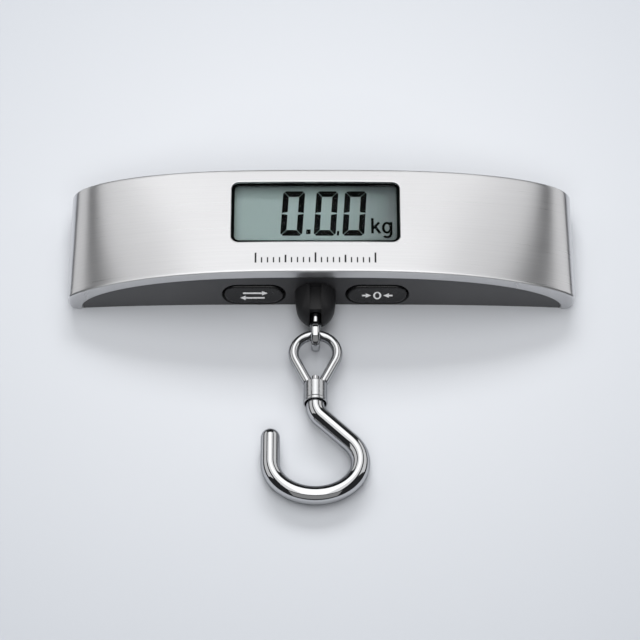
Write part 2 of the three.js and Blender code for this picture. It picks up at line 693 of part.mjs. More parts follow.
function eyeBoltParts() {
  const ring = new THREE.TorusGeometry(RING.radius, RING.wire, 8, 20);
  ring.rotateY(Math.PI / 2).translate(MODULE_X, RING.y, AXIS_Z);
  const shankFrom = RING.y + RING.radius;
  const shank = rodY(MODULE_X, AXIS_Z, shankFrom, STUD.end, STUD.radius);
  addPart('eye_bolt', join(ring, shank), CHROME);
  const hole = rodY(MODULE_X, AXIS_Z, CELL.far, STUD.end + OVER, STUD.radius + GAP);
  const washerFrom = CELL.far + GAP;
  const washerTo = washerFrom + WASHER.thick;
  const disc = rodY(MODULE_X, AXIS_Z, washerFrom, washerTo, WASHER.radius);
  addPart('bolt_washer', cut(disc, hole), ZINC);
  const nutFrom = washerTo + GAP;
  const hexagon = rodY(0, 0, nutFrom, nutFrom + NUT.thick, NUT.radius, 6);
  hexagon.rotateY(Math.PI / 6).translate(MODULE_X, 0, AXIS_Z);
  addPart('bolt_nut', cut(hexagon, hole), ZINC);
}

// ---- hook train, drawn about the hinge at the top of the wire eye, running to -Y ----

function eyeWire() {
  const centre = -EYE.radius;
  const legEnd = -EYE.length;
  const apart = Math.hypot(EYE.legX, legEnd - centre);
  const from = Math.atan2(legEnd - centre, EYE.legX) + Math.acos(EYE.radius / apart);
  const turns = 16;
  const points = [new THREE.Vector3(EYE.legX, legEnd, 0)];
  for (let i = 0; i <= turns; i += 1) {
    const angle = from + (Math.PI - 2 * from) * (i / turns);
    points.push(new THREE.Vector3(
      EYE.radius * Math.cos(angle),
      centre + EYE.radius * Math.sin(angle),
      0,
    ));
  }
  points.push(new THREE.Vector3(-EYE.legX, legEnd, 0));
  const wire = tube(points, EYE.wire, 34, 10);
  const pinTop = legEnd + SWIVEL.pinOver + EYE.pinGapAbove;
  const pinRoom = rodY(0, 0, legEnd - OVER, pinTop, SWIVEL.pin + EYE.pinGap);
  const wide = EYE.radius;
  const flatEnd = box(-wide, wide, legEnd - 2 * EYE.wire, legEnd, -wide, wide);
  return cut(wire, pinRoom, flatEnd);
}

const COLLAR_TOP = -EYE.length - GAP;
const COLLAR_LOW = COLLAR_TOP - COLLAR.length;

function turned(profile, sides) {
  return new THREE.LatheGeometry(profile.map(([r, y]) => new THREE.Vector2(r, y)), sides);
}

// The collar's bore has a crimped rib that holds the hook's head.
function collar() {
  const bore = HOOK_WIRE + GAP;
  const pinBore = SWIVEL.pin + GAP;
  const rib = SWIVEL.neck + COLLAR.ribGap;
  const chamfer = 0.2;
  return turned([
    [pinBore, COLLAR_TOP],
    [COLLAR.radius - chamfer, COLLAR_TOP],
    [COLLAR.radius, COLLAR_TOP - chamfer],
    [COLLAR.radius, COLLAR_LOW + chamfer],
    [COLLAR.radius - chamfer, COLLAR_LOW],
    [bore, COLLAR_LOW],
    [bore, COLLAR_LOW + COLLAR.ribLow],
    [rib, COLLAR_LOW + COLLAR.ribLow],
    [rib, COLLAR_LOW + COLLAR.ribHigh],
    [bore, COLLAR_LOW + COLLAR.ribHigh],
    [bore, COLLAR_TOP - COLLAR.web],
    [pinBore, COLLAR_TOP - COLLAR.web],
    [pinBore, COLLAR_TOP],
  ], 20);
}

// The turned end of the hook: a neck and head held in the collar, and the pin above them.
function hookHead() {
  const pinEnd = -EYE.length + SWIVEL.pinOver;
  const headLow = COLLAR_LOW + SWIVEL.headLow;
  const headHigh = COLLAR_LOW + SWIVEL.headHigh;
  return turned([
    [0, COLLAR_LOW + SWIVEL.neckLow],
    [SWIVEL.neck, COLLAR_LOW + SWIVEL.neckLow],
    [SWIVEL.neck, headLow],
    [SWIVEL.head, headLow],
    [SWIVEL.head, headHigh],
    [SWIVEL.pin, headHigh],
    [SWIVEL.pin, pinEnd],
    [0, pinEnd],
  ], 14);
}

function hook() {
  const shankFrom = COLLAR_LOW + SHANK_END;
  const bowlPoint = (degrees) => {
    const angle = THREE.MathUtils.degToRad(degrees);
    return new THREE.Vector3(
      BOWL.x * Math.cos(angle),
      BOWL.centre + BOWL.y * Math.sin(angle),
      0,
    );
  };
  const leave = bowlPoint(DIAGONAL_FROM);
  const a = THREE.MathUtils.degToRad(DIAGONAL_FROM);
  const along = new THREE.Vector3(-BOWL.x * Math.sin(a), BOWL.y * Math.cos(a), 0).normalize();
  const corner = leave.clone().addScaledVector(along, -leave.x / along.x);
  const turn = Math.atan2(-along.x, along.y);
  const tangentLength = BEND_RADIUS * Math.tan(turn / 2);
  const bendCentre = new THREE.Vector3(BEND_RADIUS, corner.y + tangentLength, 0);
  const points = [new THREE.Vector3(0, shankFrom, 0)];
  const bendSteps = 5;
  for (let i = 0; i <= bendSteps; i += 1) {
    const angle = Math.PI + turn * (i / bendSteps);
    points.push(new THREE.Vector3(
      bendCentre.x + BEND_RADIUS * Math.cos(angle),
      bendCentre.y + BEND_RADIUS * Math.sin(angle),
      0,
    ));
  }
  const bowlSteps = 22;
  for (let i = 0; i <= bowlSteps; i += 1) {
    points.push(bowlPoint(DIAGONAL_FROM - (DIAGONAL_FROM + 180) * (i / bowlSteps)));
  }
  const tip = new THREE.Vector3(-BOWL.x, BOWL.centre + TIP_REACH, 0);
  points.push(tip.clone().add(new THREE.Vector3(0, -TIP_LEAD, 0)), tip);
  const wire = tube(points, HOOK_WIRE, 44, 12);
  const round = new THREE.SphereGeometry(HOOK_WIRE * TIP_ROUND, 12, 6);
  return join(wire, hookHead(), round.translate(tip.x, tip.y, 0));
}

function hookTrain() {
  const reach = -BOWL.centre + BOWL.y;
  const rest = Math.asin((AXIS_Z - HOOK_WIRE - FLOOR_GAP) / reach);
  const train = new THREE.Group();
  train.position.set(MODULE_X, HINGE_Y, AXIS_Z);
  train.rotation.x = rest;
  addPart('hook_eye', eyeWire(), CHROME, train);
  addPart('swivel_collar', collar(), CHROME, train);
  addPart('hook', hook(), CHROME, train);
  product.add(train);
}

// ---- assembly ----

addPart('steel_cover', steelCover(), BRUSHED_STEEL);
addPart('front_housing', frontHousing(), BLACK_PLASTIC);
addPart('hook_boss', hookBoss(), BLACK_PLASTIC);
addPart('back_cover', backCover(), BLACK_PLASTIC);
batteryParts();
displayParts();
boardParts();
Object.entries(keyPlaces).forEach(([name, x]) => keyParts(name, x));
leadParts();
loadCellParts();
screwParts();
eyeBoltParts();
hookTrain();

export default product;
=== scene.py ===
"""Looks for the digital luggage scale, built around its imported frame.

Metres, in the frame's own axes: the scale lies on its back with its display up, its body runs
along X and its hook points to -Y.
"""

import json
import math

import bmesh
import bpy
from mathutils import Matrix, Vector


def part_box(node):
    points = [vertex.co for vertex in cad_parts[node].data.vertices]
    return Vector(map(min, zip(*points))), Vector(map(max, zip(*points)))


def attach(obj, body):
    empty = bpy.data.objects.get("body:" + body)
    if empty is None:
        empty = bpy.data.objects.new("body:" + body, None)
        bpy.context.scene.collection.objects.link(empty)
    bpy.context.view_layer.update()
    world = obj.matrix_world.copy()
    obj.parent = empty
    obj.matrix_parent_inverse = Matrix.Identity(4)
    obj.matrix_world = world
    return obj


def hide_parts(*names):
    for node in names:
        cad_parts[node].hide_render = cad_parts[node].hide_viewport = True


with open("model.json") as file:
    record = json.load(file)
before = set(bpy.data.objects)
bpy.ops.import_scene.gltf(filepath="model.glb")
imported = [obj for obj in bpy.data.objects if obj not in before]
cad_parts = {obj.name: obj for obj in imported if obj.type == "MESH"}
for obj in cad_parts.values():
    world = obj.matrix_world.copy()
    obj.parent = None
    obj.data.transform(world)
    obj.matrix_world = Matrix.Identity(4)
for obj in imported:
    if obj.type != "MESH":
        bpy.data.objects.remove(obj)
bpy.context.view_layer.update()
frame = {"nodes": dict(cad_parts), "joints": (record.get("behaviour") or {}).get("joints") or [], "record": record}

scene = bpy.context.scene
MM = 0.001
HALF_PI = math.pi / 2
SAME_PLACE = 1e-7

# ---- sizes: the frame's where it has them, and otherwise the CAD source's own values ----
cover_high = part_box("steel_cover")[1]
HALF_LENGTH = cover_high.x
HEIGHT = cover_high.z
FAR_Y = cover_high.y
NEAR_Y = -FAR_Y
DEPTH = FAR_Y - NEAR_Y
joints = {joint["name"]: joint for joint in frame["joints"]}
HINGE = Vector(joints["hook_fold"]["pos_m"])
MODULE_X = HINGE.x
AXIS_Z = HINGE.z

GAP = 0.3 * MM
CORNER = 3 * MM
PROFILE_ALONG = 2.6
PROFILE_UP = 4.1
SHOULDER_AT = 60 * MM
SHOULDER_DROP = 0.32
SHOULDER_POWER = 3.2
BOW_NEAR = 0.9 * MM
BOW_FAR = 2.2 * MM
BOW_POWER = 3

SHEET = 0.7 * MM
FOLD_RADIUS = 0.6 * MM
RIM_TOP = 2.8 * MM
RIM_END = 3.6 * MM
ARCH_BASE = 0.9 * MM
ARCH_ALONG = 2.7
ARCH_UP = 1.95
PANEL_RECESS = 0.35 * MM
HOUSING_INSET = SHEET + 0.4 * MM
CAVITY_INSET = HOUSING_INSET + 1.6 * MM
CAVITY_END = 5.6 * MM

EYE_WIRE = 1.35 * MM
EYE_RADIUS = 5.8 * MM
EYE_LEG_X = 1.9 * MM
EYE_LENGTH = 15.4 * MM
COLLAR_RADIUS = 3.2 * MM
COLLAR_LENGTH = 6.2 * MM
COLLAR_WEB = 1 * MM
RIB_LOW = 2.5 * MM
RIB_HIGH = 3.4 * MM
HEAD_LOW = 3.7 * MM
HEAD_HIGH = 4.8 * MM
SHANK_END = 2.2 * MM
PIN_RADIUS = 0.95 * MM
PIN_OVER = 2.2 * MM
HOOK_WIRE = 2.5 * MM
BOWL_X = 11.75 * MM
BOWL_Y = 10.1 * MM
BOWL_CENTRE = -40.3 * MM
DIAGONAL_FROM = math.radians(40)
BEND_RADIUS = 5 * MM
TIP_REACH = 7.7 * MM


# ---- mesh helpers ----
def link(name, data):
    """A new object in the scene, from a mesh, a light or a camera."""
    made = bpy.data.objects.new(name, data)
    scene.collection.objects.link(made)
    return made


def object_from(name, bm):
    """An object from a bmesh, with its faces turned outwards."""
    bmesh.ops.remove_doubles(bm, verts=bm.verts, dist=SAME_PLACE)
    bmesh.ops.recalc_face_normals(bm, faces=bm.faces)
    mesh = bpy.data.meshes.new(name)
    bm.to_mesh(mesh)
    bm.free()
    return link(name, mesh)


def evaluated_mesh(piece):
    """Applies the piece's modifiers to its mesh."""
    bpy.context.view_layer.update()
    graph = bpy.context.evaluated_depsgraph_get()
    mesh = bpy.data.meshes.new_from_object(piece.evaluated_get(graph))
    piece.modifiers.clear()
    piece.data = mesh


def combine(piece, tool, operation):
    """Cuts the tool from the piece, or joins it on, and removes the tool."""
    modifier = piece.modifiers.new("combine", "BOOLEAN")
    modifier.operation = operation
    modifier.solver = "EXACT"
    modifier.object = tool
    evaluated_mesh(piece)
    bpy.data.objects.remove(tool)


def round_edges(piece, width, segments=3, angle=40):
    """Rounds the edges that are sharper than angle, in degrees."""
    modifier = piece.modifiers.new("edges", "BEVEL")
    modifier.width = width
    modifier.segments = segments
    modifier.limit_method = "ANGLE"
    modifier.angle_limit = math.radians(angle)
    modifier.miter_outer = "MITER_ARC"
    evaluated_mesh(piece)


def dress(piece, body, look, replaces=(), sharp=42):
    """Shades a finished mesh smoothly, gives it its material and puts it on its body."""
    piece.data.materials.clear()
    piece.data.materials.append(look)
    piece.data.shade_smooth()
    piece.data.set_sharp_from_angle(angle=math.radians(sharp))
    even = piece.modifiers.new("even_normals", "WEIGHTED_NORMAL")
    even.keep_sharp = True
    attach(piece, body)
    if replaces:
        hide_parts(*replaces)


def add_loop(bm, points):
    return [bm.verts.new(point) for point in points]


def bridge(bm, first, second, closed=True):
    """Quads between two loops of as many vertices each."""
    count = len(first)
    for k in range(count if closed else count - 1):
        n = (k + 1) % count
        bm.faces.new((first[k], first[n], second[n], second[k]))


def lofted(name, rings):
    """A closed solid through rings of points, with a flat face on its first and last ring."""
    bm = bmesh.new()
    loops = [add_loop(bm, ring) for ring in rings]
    for first, second in zip(loops, loops[1:]):
        bridge(bm, first, second)
    bm.faces.new(loops[0])
    bm.faces.new(loops[-1])
    return object_from(name, bm)


def softened(points, radius, steps):
    """The same open line with each inner corner drawn as a short curve."""
    points = [Vector(point) for point in points]
    line = [points[0]]
    for before, corner, after in zip(points, points[1:], points[2:]):
        back = before - corner
        ahead = after - corner
        reach = min(radius, back.length * 0.48, ahead.length * 0.48)
        start = corner + back.normalized() * reach
        end = corner + ahead.normalized() * reach
        for k in range(steps + 1):
            t = k / steps
            line.append(start * (1 - t) ** 2 + corner * 2 * t * (1 - t) + end * t**2)
    line.append(points[-1])
    return line


def turned(name, profile, place, sides=64):
    """A solid of revolution: profile is (radius, along), from the axis or closed on itself."""
    bm = bmesh.new()
    loops = []
    for radius, along in profile:
        if radius < SAME_PLACE:
            loops.append([bm.verts.new(place(0, along, 0))])
            continue
        angles = [2 * math.pi * k / sides for k in range(sides)]
        ring = [place(radius * math.cos(a), along, radius * math.sin(a)) for a in angles]
        loops.append(add_loop(bm, ring))
    pairs = list(zip(loops, loops[1:]))
    if len(loops[0]) > 1 and len(loops[-1]) > 1:
        pairs.append((loops[-1], loops[0]))
    for first, second in pairs:
        if len(first) == 1 or len(second) == 1:
            tip, ring = (first[0], second) if len(first) == 1 else (second[0], first)
            for k in range(sides):
                bm.faces.new((tip, ring[k], ring[(k + 1) % sides]))
        else:
            bridge(bm, first, second)
    return object_from(name, bm)


def swept(name, path, radius, across, sides=36, domed=False):
    """A round wire along a path that lies in one plane; across is that plane's normal.
    A domed wire ends in half a ball past the path's last point."""
    rings = []
    count = len(path)
    stations = [(p, 1.0) for p in path]
    dome_steps = 8
    if domed:
        ahead = (path[-1] - path[-2]).normalized()
        for k in range(1, dome_steps):
            angle = HALF_PI * k / dome_steps
            stations.append((path[-1] + ahead * radius * math.sin(angle), math.cos(angle)))
    for k, (centre, share) in enumerate(stations):
        low = max(0, min(k, count - 1) - 1)
        high = min(count - 1, k + 1)
        ahead = (path[high] - path[low]).normalized()
        side = ahead.cross(across).normalized()
        ring = []
        for s in range(sides):
            angle = 2 * math.pi * s / sides
            offset = side * math.cos(angle) + across * math.sin(angle)
            ring.append(centre + offset * radius * share)
        rings.append(ring)
    return lofted(name, rings)


def cylinder(name, place, radius, low, high, sides=48):
    return turned(name, [(0, low), (radius, low), (radius, high), (0, high)], place, sides)


def block(name, low, high):
    corners = [(low[0], low[1]), (high[0], low[1]), (high[0], high[1]), (low[0], high[1])]
    rings = [[Vector((x, y, z)) for x, y in corners] for z in (low[2], high[2])]
    return lofted(name, rings)


def level(x, z, squash=1):
    """Places a turned solid with its axis along Y at (x, z)."""
    return lambda a, along, b: Vector((x + a, along, z + b * squash))


# ---- body form ----
def nearness(y):
    """1 on the face that the hook comes out of and 0 on the far face."""
    return (FAR_Y - y) / DEPTH


def bow(x, y):
    """How far along Y the bar bends at (x, y): its ends come towards the hook."""
    w = nearness(y)
    return -(w * BOW_NEAR + (1 - w) * BOW_FAR) * abs(x / SHOULDER_AT) ** BOW_POWER


def towards_end(x, end):
    """0 at the display's middle and 1 at either end of a form drawn in by end."""
    middle = MODULE_X if x < MODULE_X else -MODULE_X
    return min(1, abs(x - MODULE_X) / (HALF_LENGTH - end + middle))


def crown(x, y, end=0.0, top=0.0):
    """The height of the bar's top, for a form drawn in by end and top."""
    along = towards_end(x, end)
    rise = (HEIGHT - top - CORNER) * (1 - along**PROFILE_ALONG) ** (1 / PROFILE_UP)
    drop = SHOULDER_DROP * nearness(y) * abs(x / SHOULDER_AT) ** SHOULDER_POWER
    return CORNER + rise * (1 - drop)


def arch(x, y, end, top):
    """The outline of the front and back panels, which the cover's rim follows."""
    share = (1 - towards_end(x, end)**ARCH_ALONG) ** (1 / ARCH_UP)
    return ARCH_BASE + (HEIGHT - top - ARCH_BASE) * share


def on_top(x, y, drop=0.0):
    """The point of the cover's top face at (x, y), or that far under it."""
    straight = y
    for _ in range(3):
        straight = y - bow(x, straight)
    return Vector((x, y, crown(x, straight) - drop))


FOOT = 0.12
FOOT_STEPS = 8


def outline(t, f, y):
    """A point of the bar's outline. t is -1 at the left end and 1 at the right, and past those it
    follows the rounded foot. f is 0 on the outer face and 1 on the rim's inner line."""
    if abs(t) <= 1:
        turn = math.sin(t * HALF_PI)
        outer_x = turn * HALF_LENGTH
        inner_x = turn * (HALF_LENGTH - RIM_END)
        outer_z = crown(outer_x, y)
        inner_z = arch(inner_x, y, RIM_END, RIM_TOP)
    else:
        share = (abs(t) - 1) / FOOT
        angle = share * HALF_PI
        side = math.copysign(1, t)
        outer_x = side * (HALF_LENGTH - CORNER * (1 - math.cos(angle)))
        inner_x = side * (HALF_LENGTH - RIM_END)
        outer_z = CORNER * (1 - math.sin(angle))
        inner_z = ARCH_BASE * (1 - share)
    x = outer_x + (inner_x - outer_x) * f
    z = outer_z + (inner_z - outer_z) * f
    return Vector((x, y + bow(x, y), z))


def spread(low, high, steps):
    return [low + (high - low) * k / steps for k in range(steps + 1)]


def bar(name, end, top, near, far, floor=None, roof=crown):
    """The bar's form from near to far, drawn in by end and top. It has rounded feet, or a flat
    floor at the height given."""
    rings = []
    for t in spread(-1, 1, 120):
        x = math.sin(t * HALF_PI) * (HALF_LENGTH - end)
        past = abs(x) - (HALF_LENGTH - CORNER)
        low = end if floor is None else floor
        if floor is None and past > 0:
            low = CORNER - math.sqrt(max(0, (CORNER - end) ** 2 - past**2))
        ring = []
        for y, z in ((near, low), (far, low), (far, None), (near, None)):
            height = roof(x, y, end, top) if z is None else z
            ring.append(Vector((x, y + bow(x, y), height)))
        rings.append(ring)
    return lofted(name, rings)


# ---- materials ----
def material(name, **sockets):
    """A new Principled material. Underscores in a socket's name stand for spaces."""
    made = bpy.data.materials.new(name)
    made.use_nodes = True
    shader = made.node_tree.nodes["Principled BSDF"]
    for socket, value in sockets.items():
        shader.inputs[socket.replace("_", " ")].default_value = value
    return made, made.node_tree, shader


def feed(tree, node, **sources):
    """Links an output to each of the node's sockets named, with underscores as for material."""
    for socket, source in sources.items():
        tree.links.new(source, node.inputs[socket.replace("_", " ")])


def here(tree):
    return tree.nodes.new("ShaderNodeTexCoord").outputs["Object"]


def noise(tree, scale, detail=3, roughness=0.55):
    """Noise with one scale, or one for each axis, in features per metre."""
    stretch = tree.nodes.new("ShaderNodeMapping")
    stretch.inputs["Scale"].default_value = scale if isinstance(scale, tuple) else (scale,) * 3
    grain = tree.nodes.new("ShaderNodeTexNoise")
    grain.inputs["Scale"].default_value = 1
    grain.inputs["Detail"].default_value = detail
    grain.inputs["Roughness"].default_value = roughness
    feed(tree, stretch, Vector=here(tree))
    feed(tree, grain, Vector=stretch.outputs["Vector"])
    return grain.outputs["Fac"]


def scaled(tree, value, low, high, start=0.3, stop=0.7):
    """The value from start to stop drawn out to the range from low to high."""
    node = tree.nodes.new("ShaderNodeMapRange")
    node.inputs["From Min"].default_value = start
    node.inputs["From Max"].default_value = stop
    node.inputs["To Min"].default_value = low
    node.inputs["To Max"].default_value = high
    feed(tree, node, Value=value)
    return node.outputs["Result"]


def tinted(tree, value, dark, light, start=0.3, stop=0.7):
    """A colour ramp from dark to light over the value."""
    node = tree.nodes.new("ShaderNodeValToRGB")
    first, last = node.color_ramp.elements
    first.position, first.color = start, (*dark, 1)
    last.position, last.color = stop, (*light, 1)
    feed(tree, node, Fac=value)
    return node.outputs["Color"]


def bumped(tree, shader, height, strength, distance):
    """Roughens the surface by the height, without changing the mesh."""
    node = tree.nodes.new("ShaderNodeBump")
    node.inputs["Strength"].default_value = strength
    node.inputs["Distance"].default_value = distance
    feed(tree, node, Height=height)
    feed(tree, shader, Normal=node.outputs["Normal"])


def maths(tree, operation, *values):
    """A maths node over links and plain numbers."""
    node = tree.nodes.new("ShaderNodeMath")
    node.operation = operation
    for socket, value in zip(node.inputs, values):
        if isinstance(value, float):
            socket.default_value = value
        else:
            tree.links.new(value, socket)
    return node


def far_from(tree, axis, place):
    """The distance along an axis from the place given, in metres."""
    parts = tree.nodes.new("ShaderNodeSeparateXYZ")
    feed(tree, parts, Vector=here(tree))
    off = maths(tree, "SUBTRACT", parts.outputs[axis], place)
    return maths(tree, "ABSOLUTE", off.outputs[0]).outputs[0]


def away_from(tree, point):
    """The distance from a point, in metres."""
    node = tree.nodes.new("ShaderNodeVectorMath")
    node.operation = "DISTANCE"
    node.inputs[1].default_value = point
    tree.links.new(here(tree), node.inputs[0])
    return node.outputs["Value"]


def added(tree, first, second, share=1.0):
    """The first value times share, plus the second, between 0 and 1."""
    node = maths(tree, "MULTIPLY_ADD", first, share, second)
    node.use_clamp = True
    return node.outputs[0]


def brushed_steel():
    """Steel brushed along X: long fine streaks, with highlights drawn out across them."""
    made, tree, shader = material("brushed_steel", Metallic=1, Anisotropic=0.7)
    streaks = noise(tree, (22, 4200, 60), 4, 0.65)
    patches = noise(tree, (40, 120, 40), 2)
    across = tree.nodes.new("ShaderNodeCombineXYZ")
    across.inputs["Y"].default_value = 1
    across.inputs["Z"].default_value = 0.15
    mixed = added(tree, patches, streaks, 0.3)
    colour = tinted(tree, mixed, (0.64, 0.64, 0.65), (0.71, 0.71, 0.72), 0.4, 0.9)
    feed(tree, shader, Base_Color=colour, Roughness=scaled(tree, streaks, 0.27, 0.34))
    feed(tree, shader, Tangent=across.outputs["Vector"])
    bumped(tree, shader, streaks, 0.045, 0.01 * MM)
    return made


def chrome(name, low, high):
    """Polished plating, darker at grazing angles, with a roughness from low to high."""
    made, tree, shader = material(name, Base_Color=(0.56, 0.565, 0.575, 1), Metallic=1)
    shader.inputs["Specular Tint"].default_value = (0.35, 0.355, 0.37, 1)
    wear = noise(tree, 600, 5, 0.7)
    feed(tree, shader, Roughness=scaled(tree, wear, low, high))
    bumped(tree, shader, noise(tree, 160, 2), 0.05, 0.02 * MM)
    return made


def plated(name, colour, low, high):
    """A plain plated or machined metal with fine wear."""
    made, tree, shader = material(name, Metallic=1)
    wear = noise(tree, 900, 4)
    dark = tuple(0.8 * c for c in colour)
    feed(tree, shader, Base_Color=tinted(tree, wear, dark, colour))
    feed(tree, shader, Roughness=scaled(tree, wear, low, high))
    bumped(tree, shader, noise(tree, 2500, 2), 0.15, 0.01 * MM)
    return made


def plastic(name, low, high, grain=0.25, coat=0.0, shine=0.5):
    """Moulded plastic without its colour: a fine texture, with a little variation in gloss."""
    made, tree, shader = material(
        name, Coat_Weight=coat, Coat_Roughness=0.12, Specular_IOR_Level=shine)
    gloss = noise(tree, 420, 4)
    feed(tree, shader, Roughness=scaled(tree, gloss, low, high))
    bumped(tree, shader, noise(tree, 5200, 2), grain, 0.012 * MM)
    return made, tree, shader, noise(tree, 70, 3)


def moulded(name, colour, low, high, grain=0.25, coat=0.0, shine=0.5):
    """Plastic of one colour, faintly clouded."""
    made, tree, shader, cloud = plastic(name, low, high, grain, coat, shine)
    light = tuple(1.18 * c for c in colour)
    feed(tree, shader, Base_Color=tinted(tree, cloud, colour, light))
    return made


def shaded_housing_plastic():
    """The housing's plastic, with painted shade that makes it darkest round the hook boss."""
    made, tree, shader, cloud = plastic("shaded_housing_plastic", 0.36, 0.46)
    # Painted shade: the colour darkens towards the hook boss, standing in for the shade round it; the cloud is the
    # plastic's own tone.
    away = away_from(tree, (MODULE_X, NEAR_Y, AXIS_Z))
    reach = scaled(tree, away, 0, 1, 4 * MM, 40 * MM)
    cloud_and_painted_shade = added(tree, cloud, reach, 0.05)
    colour = tinted(tree, cloud_and_painted_shade, (0.026, 0.026, 0.028), (0.080, 0.081, 0.085), 0, 1)
    feed(tree, shader, Base_Color=colour)
    return made


def clear_lens():
    made, tree, shader = material("clear_lens", Transmission_Weight=1, IOR=1.05)
    shader.inputs["Base Color"].default_value = (0.97, 0.985, 0.98, 1)
    smear = noise(tree, (220, 260, 220), 3)
    feed(tree, shader, Roughness=scaled(tree, smear, 0.0, 0.02))
    return made


def lcd_surface():
    """A reflective display: a grey-green ground that darkens towards its right side, with painted shade along its
    rim.
    """
    made, tree, shader = material("lcd_surface", Specular_IOR_Level=0.15)
    low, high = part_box("lcd_glass")
    painted_rim_shade = 0.55
    rim_width = 3 * MM
    rim_x = 19.7 * MM
    rim_y = 7.4 * MM
    rightwards = far_from(tree, "X", MODULE_X - 30 * MM)
    fade = scaled(tree, rightwards, 0.0, 0.95, 36 * MM, 51 * MM)
    # Painted shade: the ground darkens within its rim, standing in for the shade cast by the window's walls.
    sides = far_from(tree, "X", MODULE_X)
    fade = added(tree, scaled(tree, sides, 0.0, painted_rim_shade, rim_x, rim_x + rim_width), fade)
    rows = far_from(tree, "Y", (low.y + high.y) / 2)
    fade = added(tree, scaled(tree, rows, 0.0, painted_rim_shade, rim_y, rim_y + rim_width), fade)
    cells = noise(tree, 3600, 1)
    # grain holds the cells' own grain together with the darkening, painted rim shade included.
    grain = added(tree, cells, fade, 0.06)
    colour = tinted(tree, grain, (0.245, 0.31, 0.306), (0.10, 0.12, 0.123), 0.0, 1.1)
    feed(tree, shader, Base_Color=colour, Roughness=scaled(tree, cells, 0.42, 0.5))
    return made


def ink(name, colour):
    """A printed or etched mark, very slightly mottled."""
    made, tree, shader = material(name, Specular_IOR_Level=0.02)
    mottle = noise(tree, 1500, 3)
    light = tuple(min(1, 1.12 * c + 0.0005) for c in colour)
    feed(tree, shader, Base_Color=tinted(tree, mottle, colour, light))
    feed(tree, shader, Roughness=scaled(tree, mottle, 0.5, 0.6))
    return made


STEEL = brushed_steel()
CHROME = chrome("chrome", 0.03, 0.075)
SATIN_CHROME = chrome("satin_chrome", 0.2, 0.26)
BACK_PLASTIC = moulded("back_plastic", (0.050, 0.051, 0.054), 0.36, 0.46)
SHADED_HOUSING_PLASTIC = shaded_housing_plastic()
KEY_PLASTIC = moulded("key_plastic", (0.004, 0.004, 0.0045), 0.24, 0.32, 0.08, 0.1)
# Painted shade: the boss gets a darker copy of the black plastic, standing in for the shade it sits in.
SHADED_BOSS_PLASTIC = moulded("shaded_boss_plastic", (0.016, 0.016, 0.017), 0.34, 0.42, shine=0.2)
LENS = clear_lens()
LCD = lcd_surface()
SEGMENT_INK = ink("segment_ink", (0.0012, 0.0015, 0.0015))
LEGEND_INK = ink("legend_ink", (0.88, 0.88, 0.88))
SCALE_INK = ink("scale_ink", (0.035, 0.035, 0.037))
slot_materials = {
    "brushed_steel": STEEL,
    "chrome": CHROME,
    "black_plastic": BACK_PLASTIC,
    "key_plastic": KEY_PLASTIC,
    "clear_lens": LENS,
    "lcd": LCD,
    "white_film": moulded("white_film", (0.70, 0.70, 0.68), 0.5, 0.6),
    "elastomer": moulded("elastomer", (0.10, 0.10, 0.11), 0.6, 0.75),
    "board": moulded("board_mask", (0.020, 0.14, 0.05), 0.3, 0.4, 0.1, 0.3),
    "epoxy": moulded("epoxy", (0.015, 0.015, 0.016), 0.3, 0.45),
    "plunger_plastic": moulded("plunger_plastic", (0.42, 0.40, 0.33), 0.4, 0.5),
    "tinned_metal": plated("tinned_metal", (0.68, 0.68, 0.66), 0.18, 0.32),
    "capacitor_can": plated("capacitor_can", (0.60, 0.61, 0.63), 0.25, 0.4),
    "wire_red": moulded("wire_red", (0.30, 0.012, 0.010), 0.35, 0.5, 0.05),
    "wire_black": moulded("wire_black", (0.012, 0.012, 0.012), 0.35, 0.5, 0.05),
    "aluminium": plated("aluminium", (0.66, 0.67, 0.68), 0.3, 0.45),
    "gauge_film": moulded("gauge_film", (0.45, 0.20, 0.04), 0.25, 0.4),
    "zinc_plate": plated("zinc_plate", (0.52, 0.53, 0.55), 0.28, 0.42),
    "spring_bronze": plated("spring_bronze", (0.62, 0.42, 0.18), 0.25, 0.38),
}
slot_of = {part["node"]: part["material_slot"] for part in frame["record"]["subparts"]}
for node_name, node in frame["nodes"].items():
    node.data.materials.clear()
    node.data.materials.append(slot_materials[slot_of[node_name]])


# ---- steel cover ----
lens_low, lens_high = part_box("display_lens")
LENS_MARGIN = 0.5 * MM
WINDOW_X = (lens_low.x + lens_high.x) / 2
WINDOW_Y = (lens_low.y + lens_high.y) / 2
WINDOW_HALF_X = (lens_high.x - lens_low.x) / 2 - LENS_MARGIN
WINDOW_HALF_Y = (lens_high.y - lens_low.y) / 2 - LENS_MARGIN
WINDOW_RADIUS = 2.2 * MM
WINDOW_LIP = 0.22 * MM


def window_point(x, y, grow):
    """The point of the window's rounded outline, grown by grow, that is nearest to (x, y)."""
    core_x = WINDOW_HALF_X - WINDOW_RADIUS
    core_y = WINDOW_HALF_Y - WINDOW_RADIUS
    base = Vector((
        max(-core_x, min(core_x, x - WINDOW_X)),
        max(-core_y, min(core_y, y - WINDOW_Y)),
    ))
    away = (Vector((x - WINDOW_X, y - WINDOW_Y)) - base).normalized()
    place = base + away * (WINDOW_RADIUS + grow)
    return WINDOW_X + place.x, WINDOW_Y + place.y


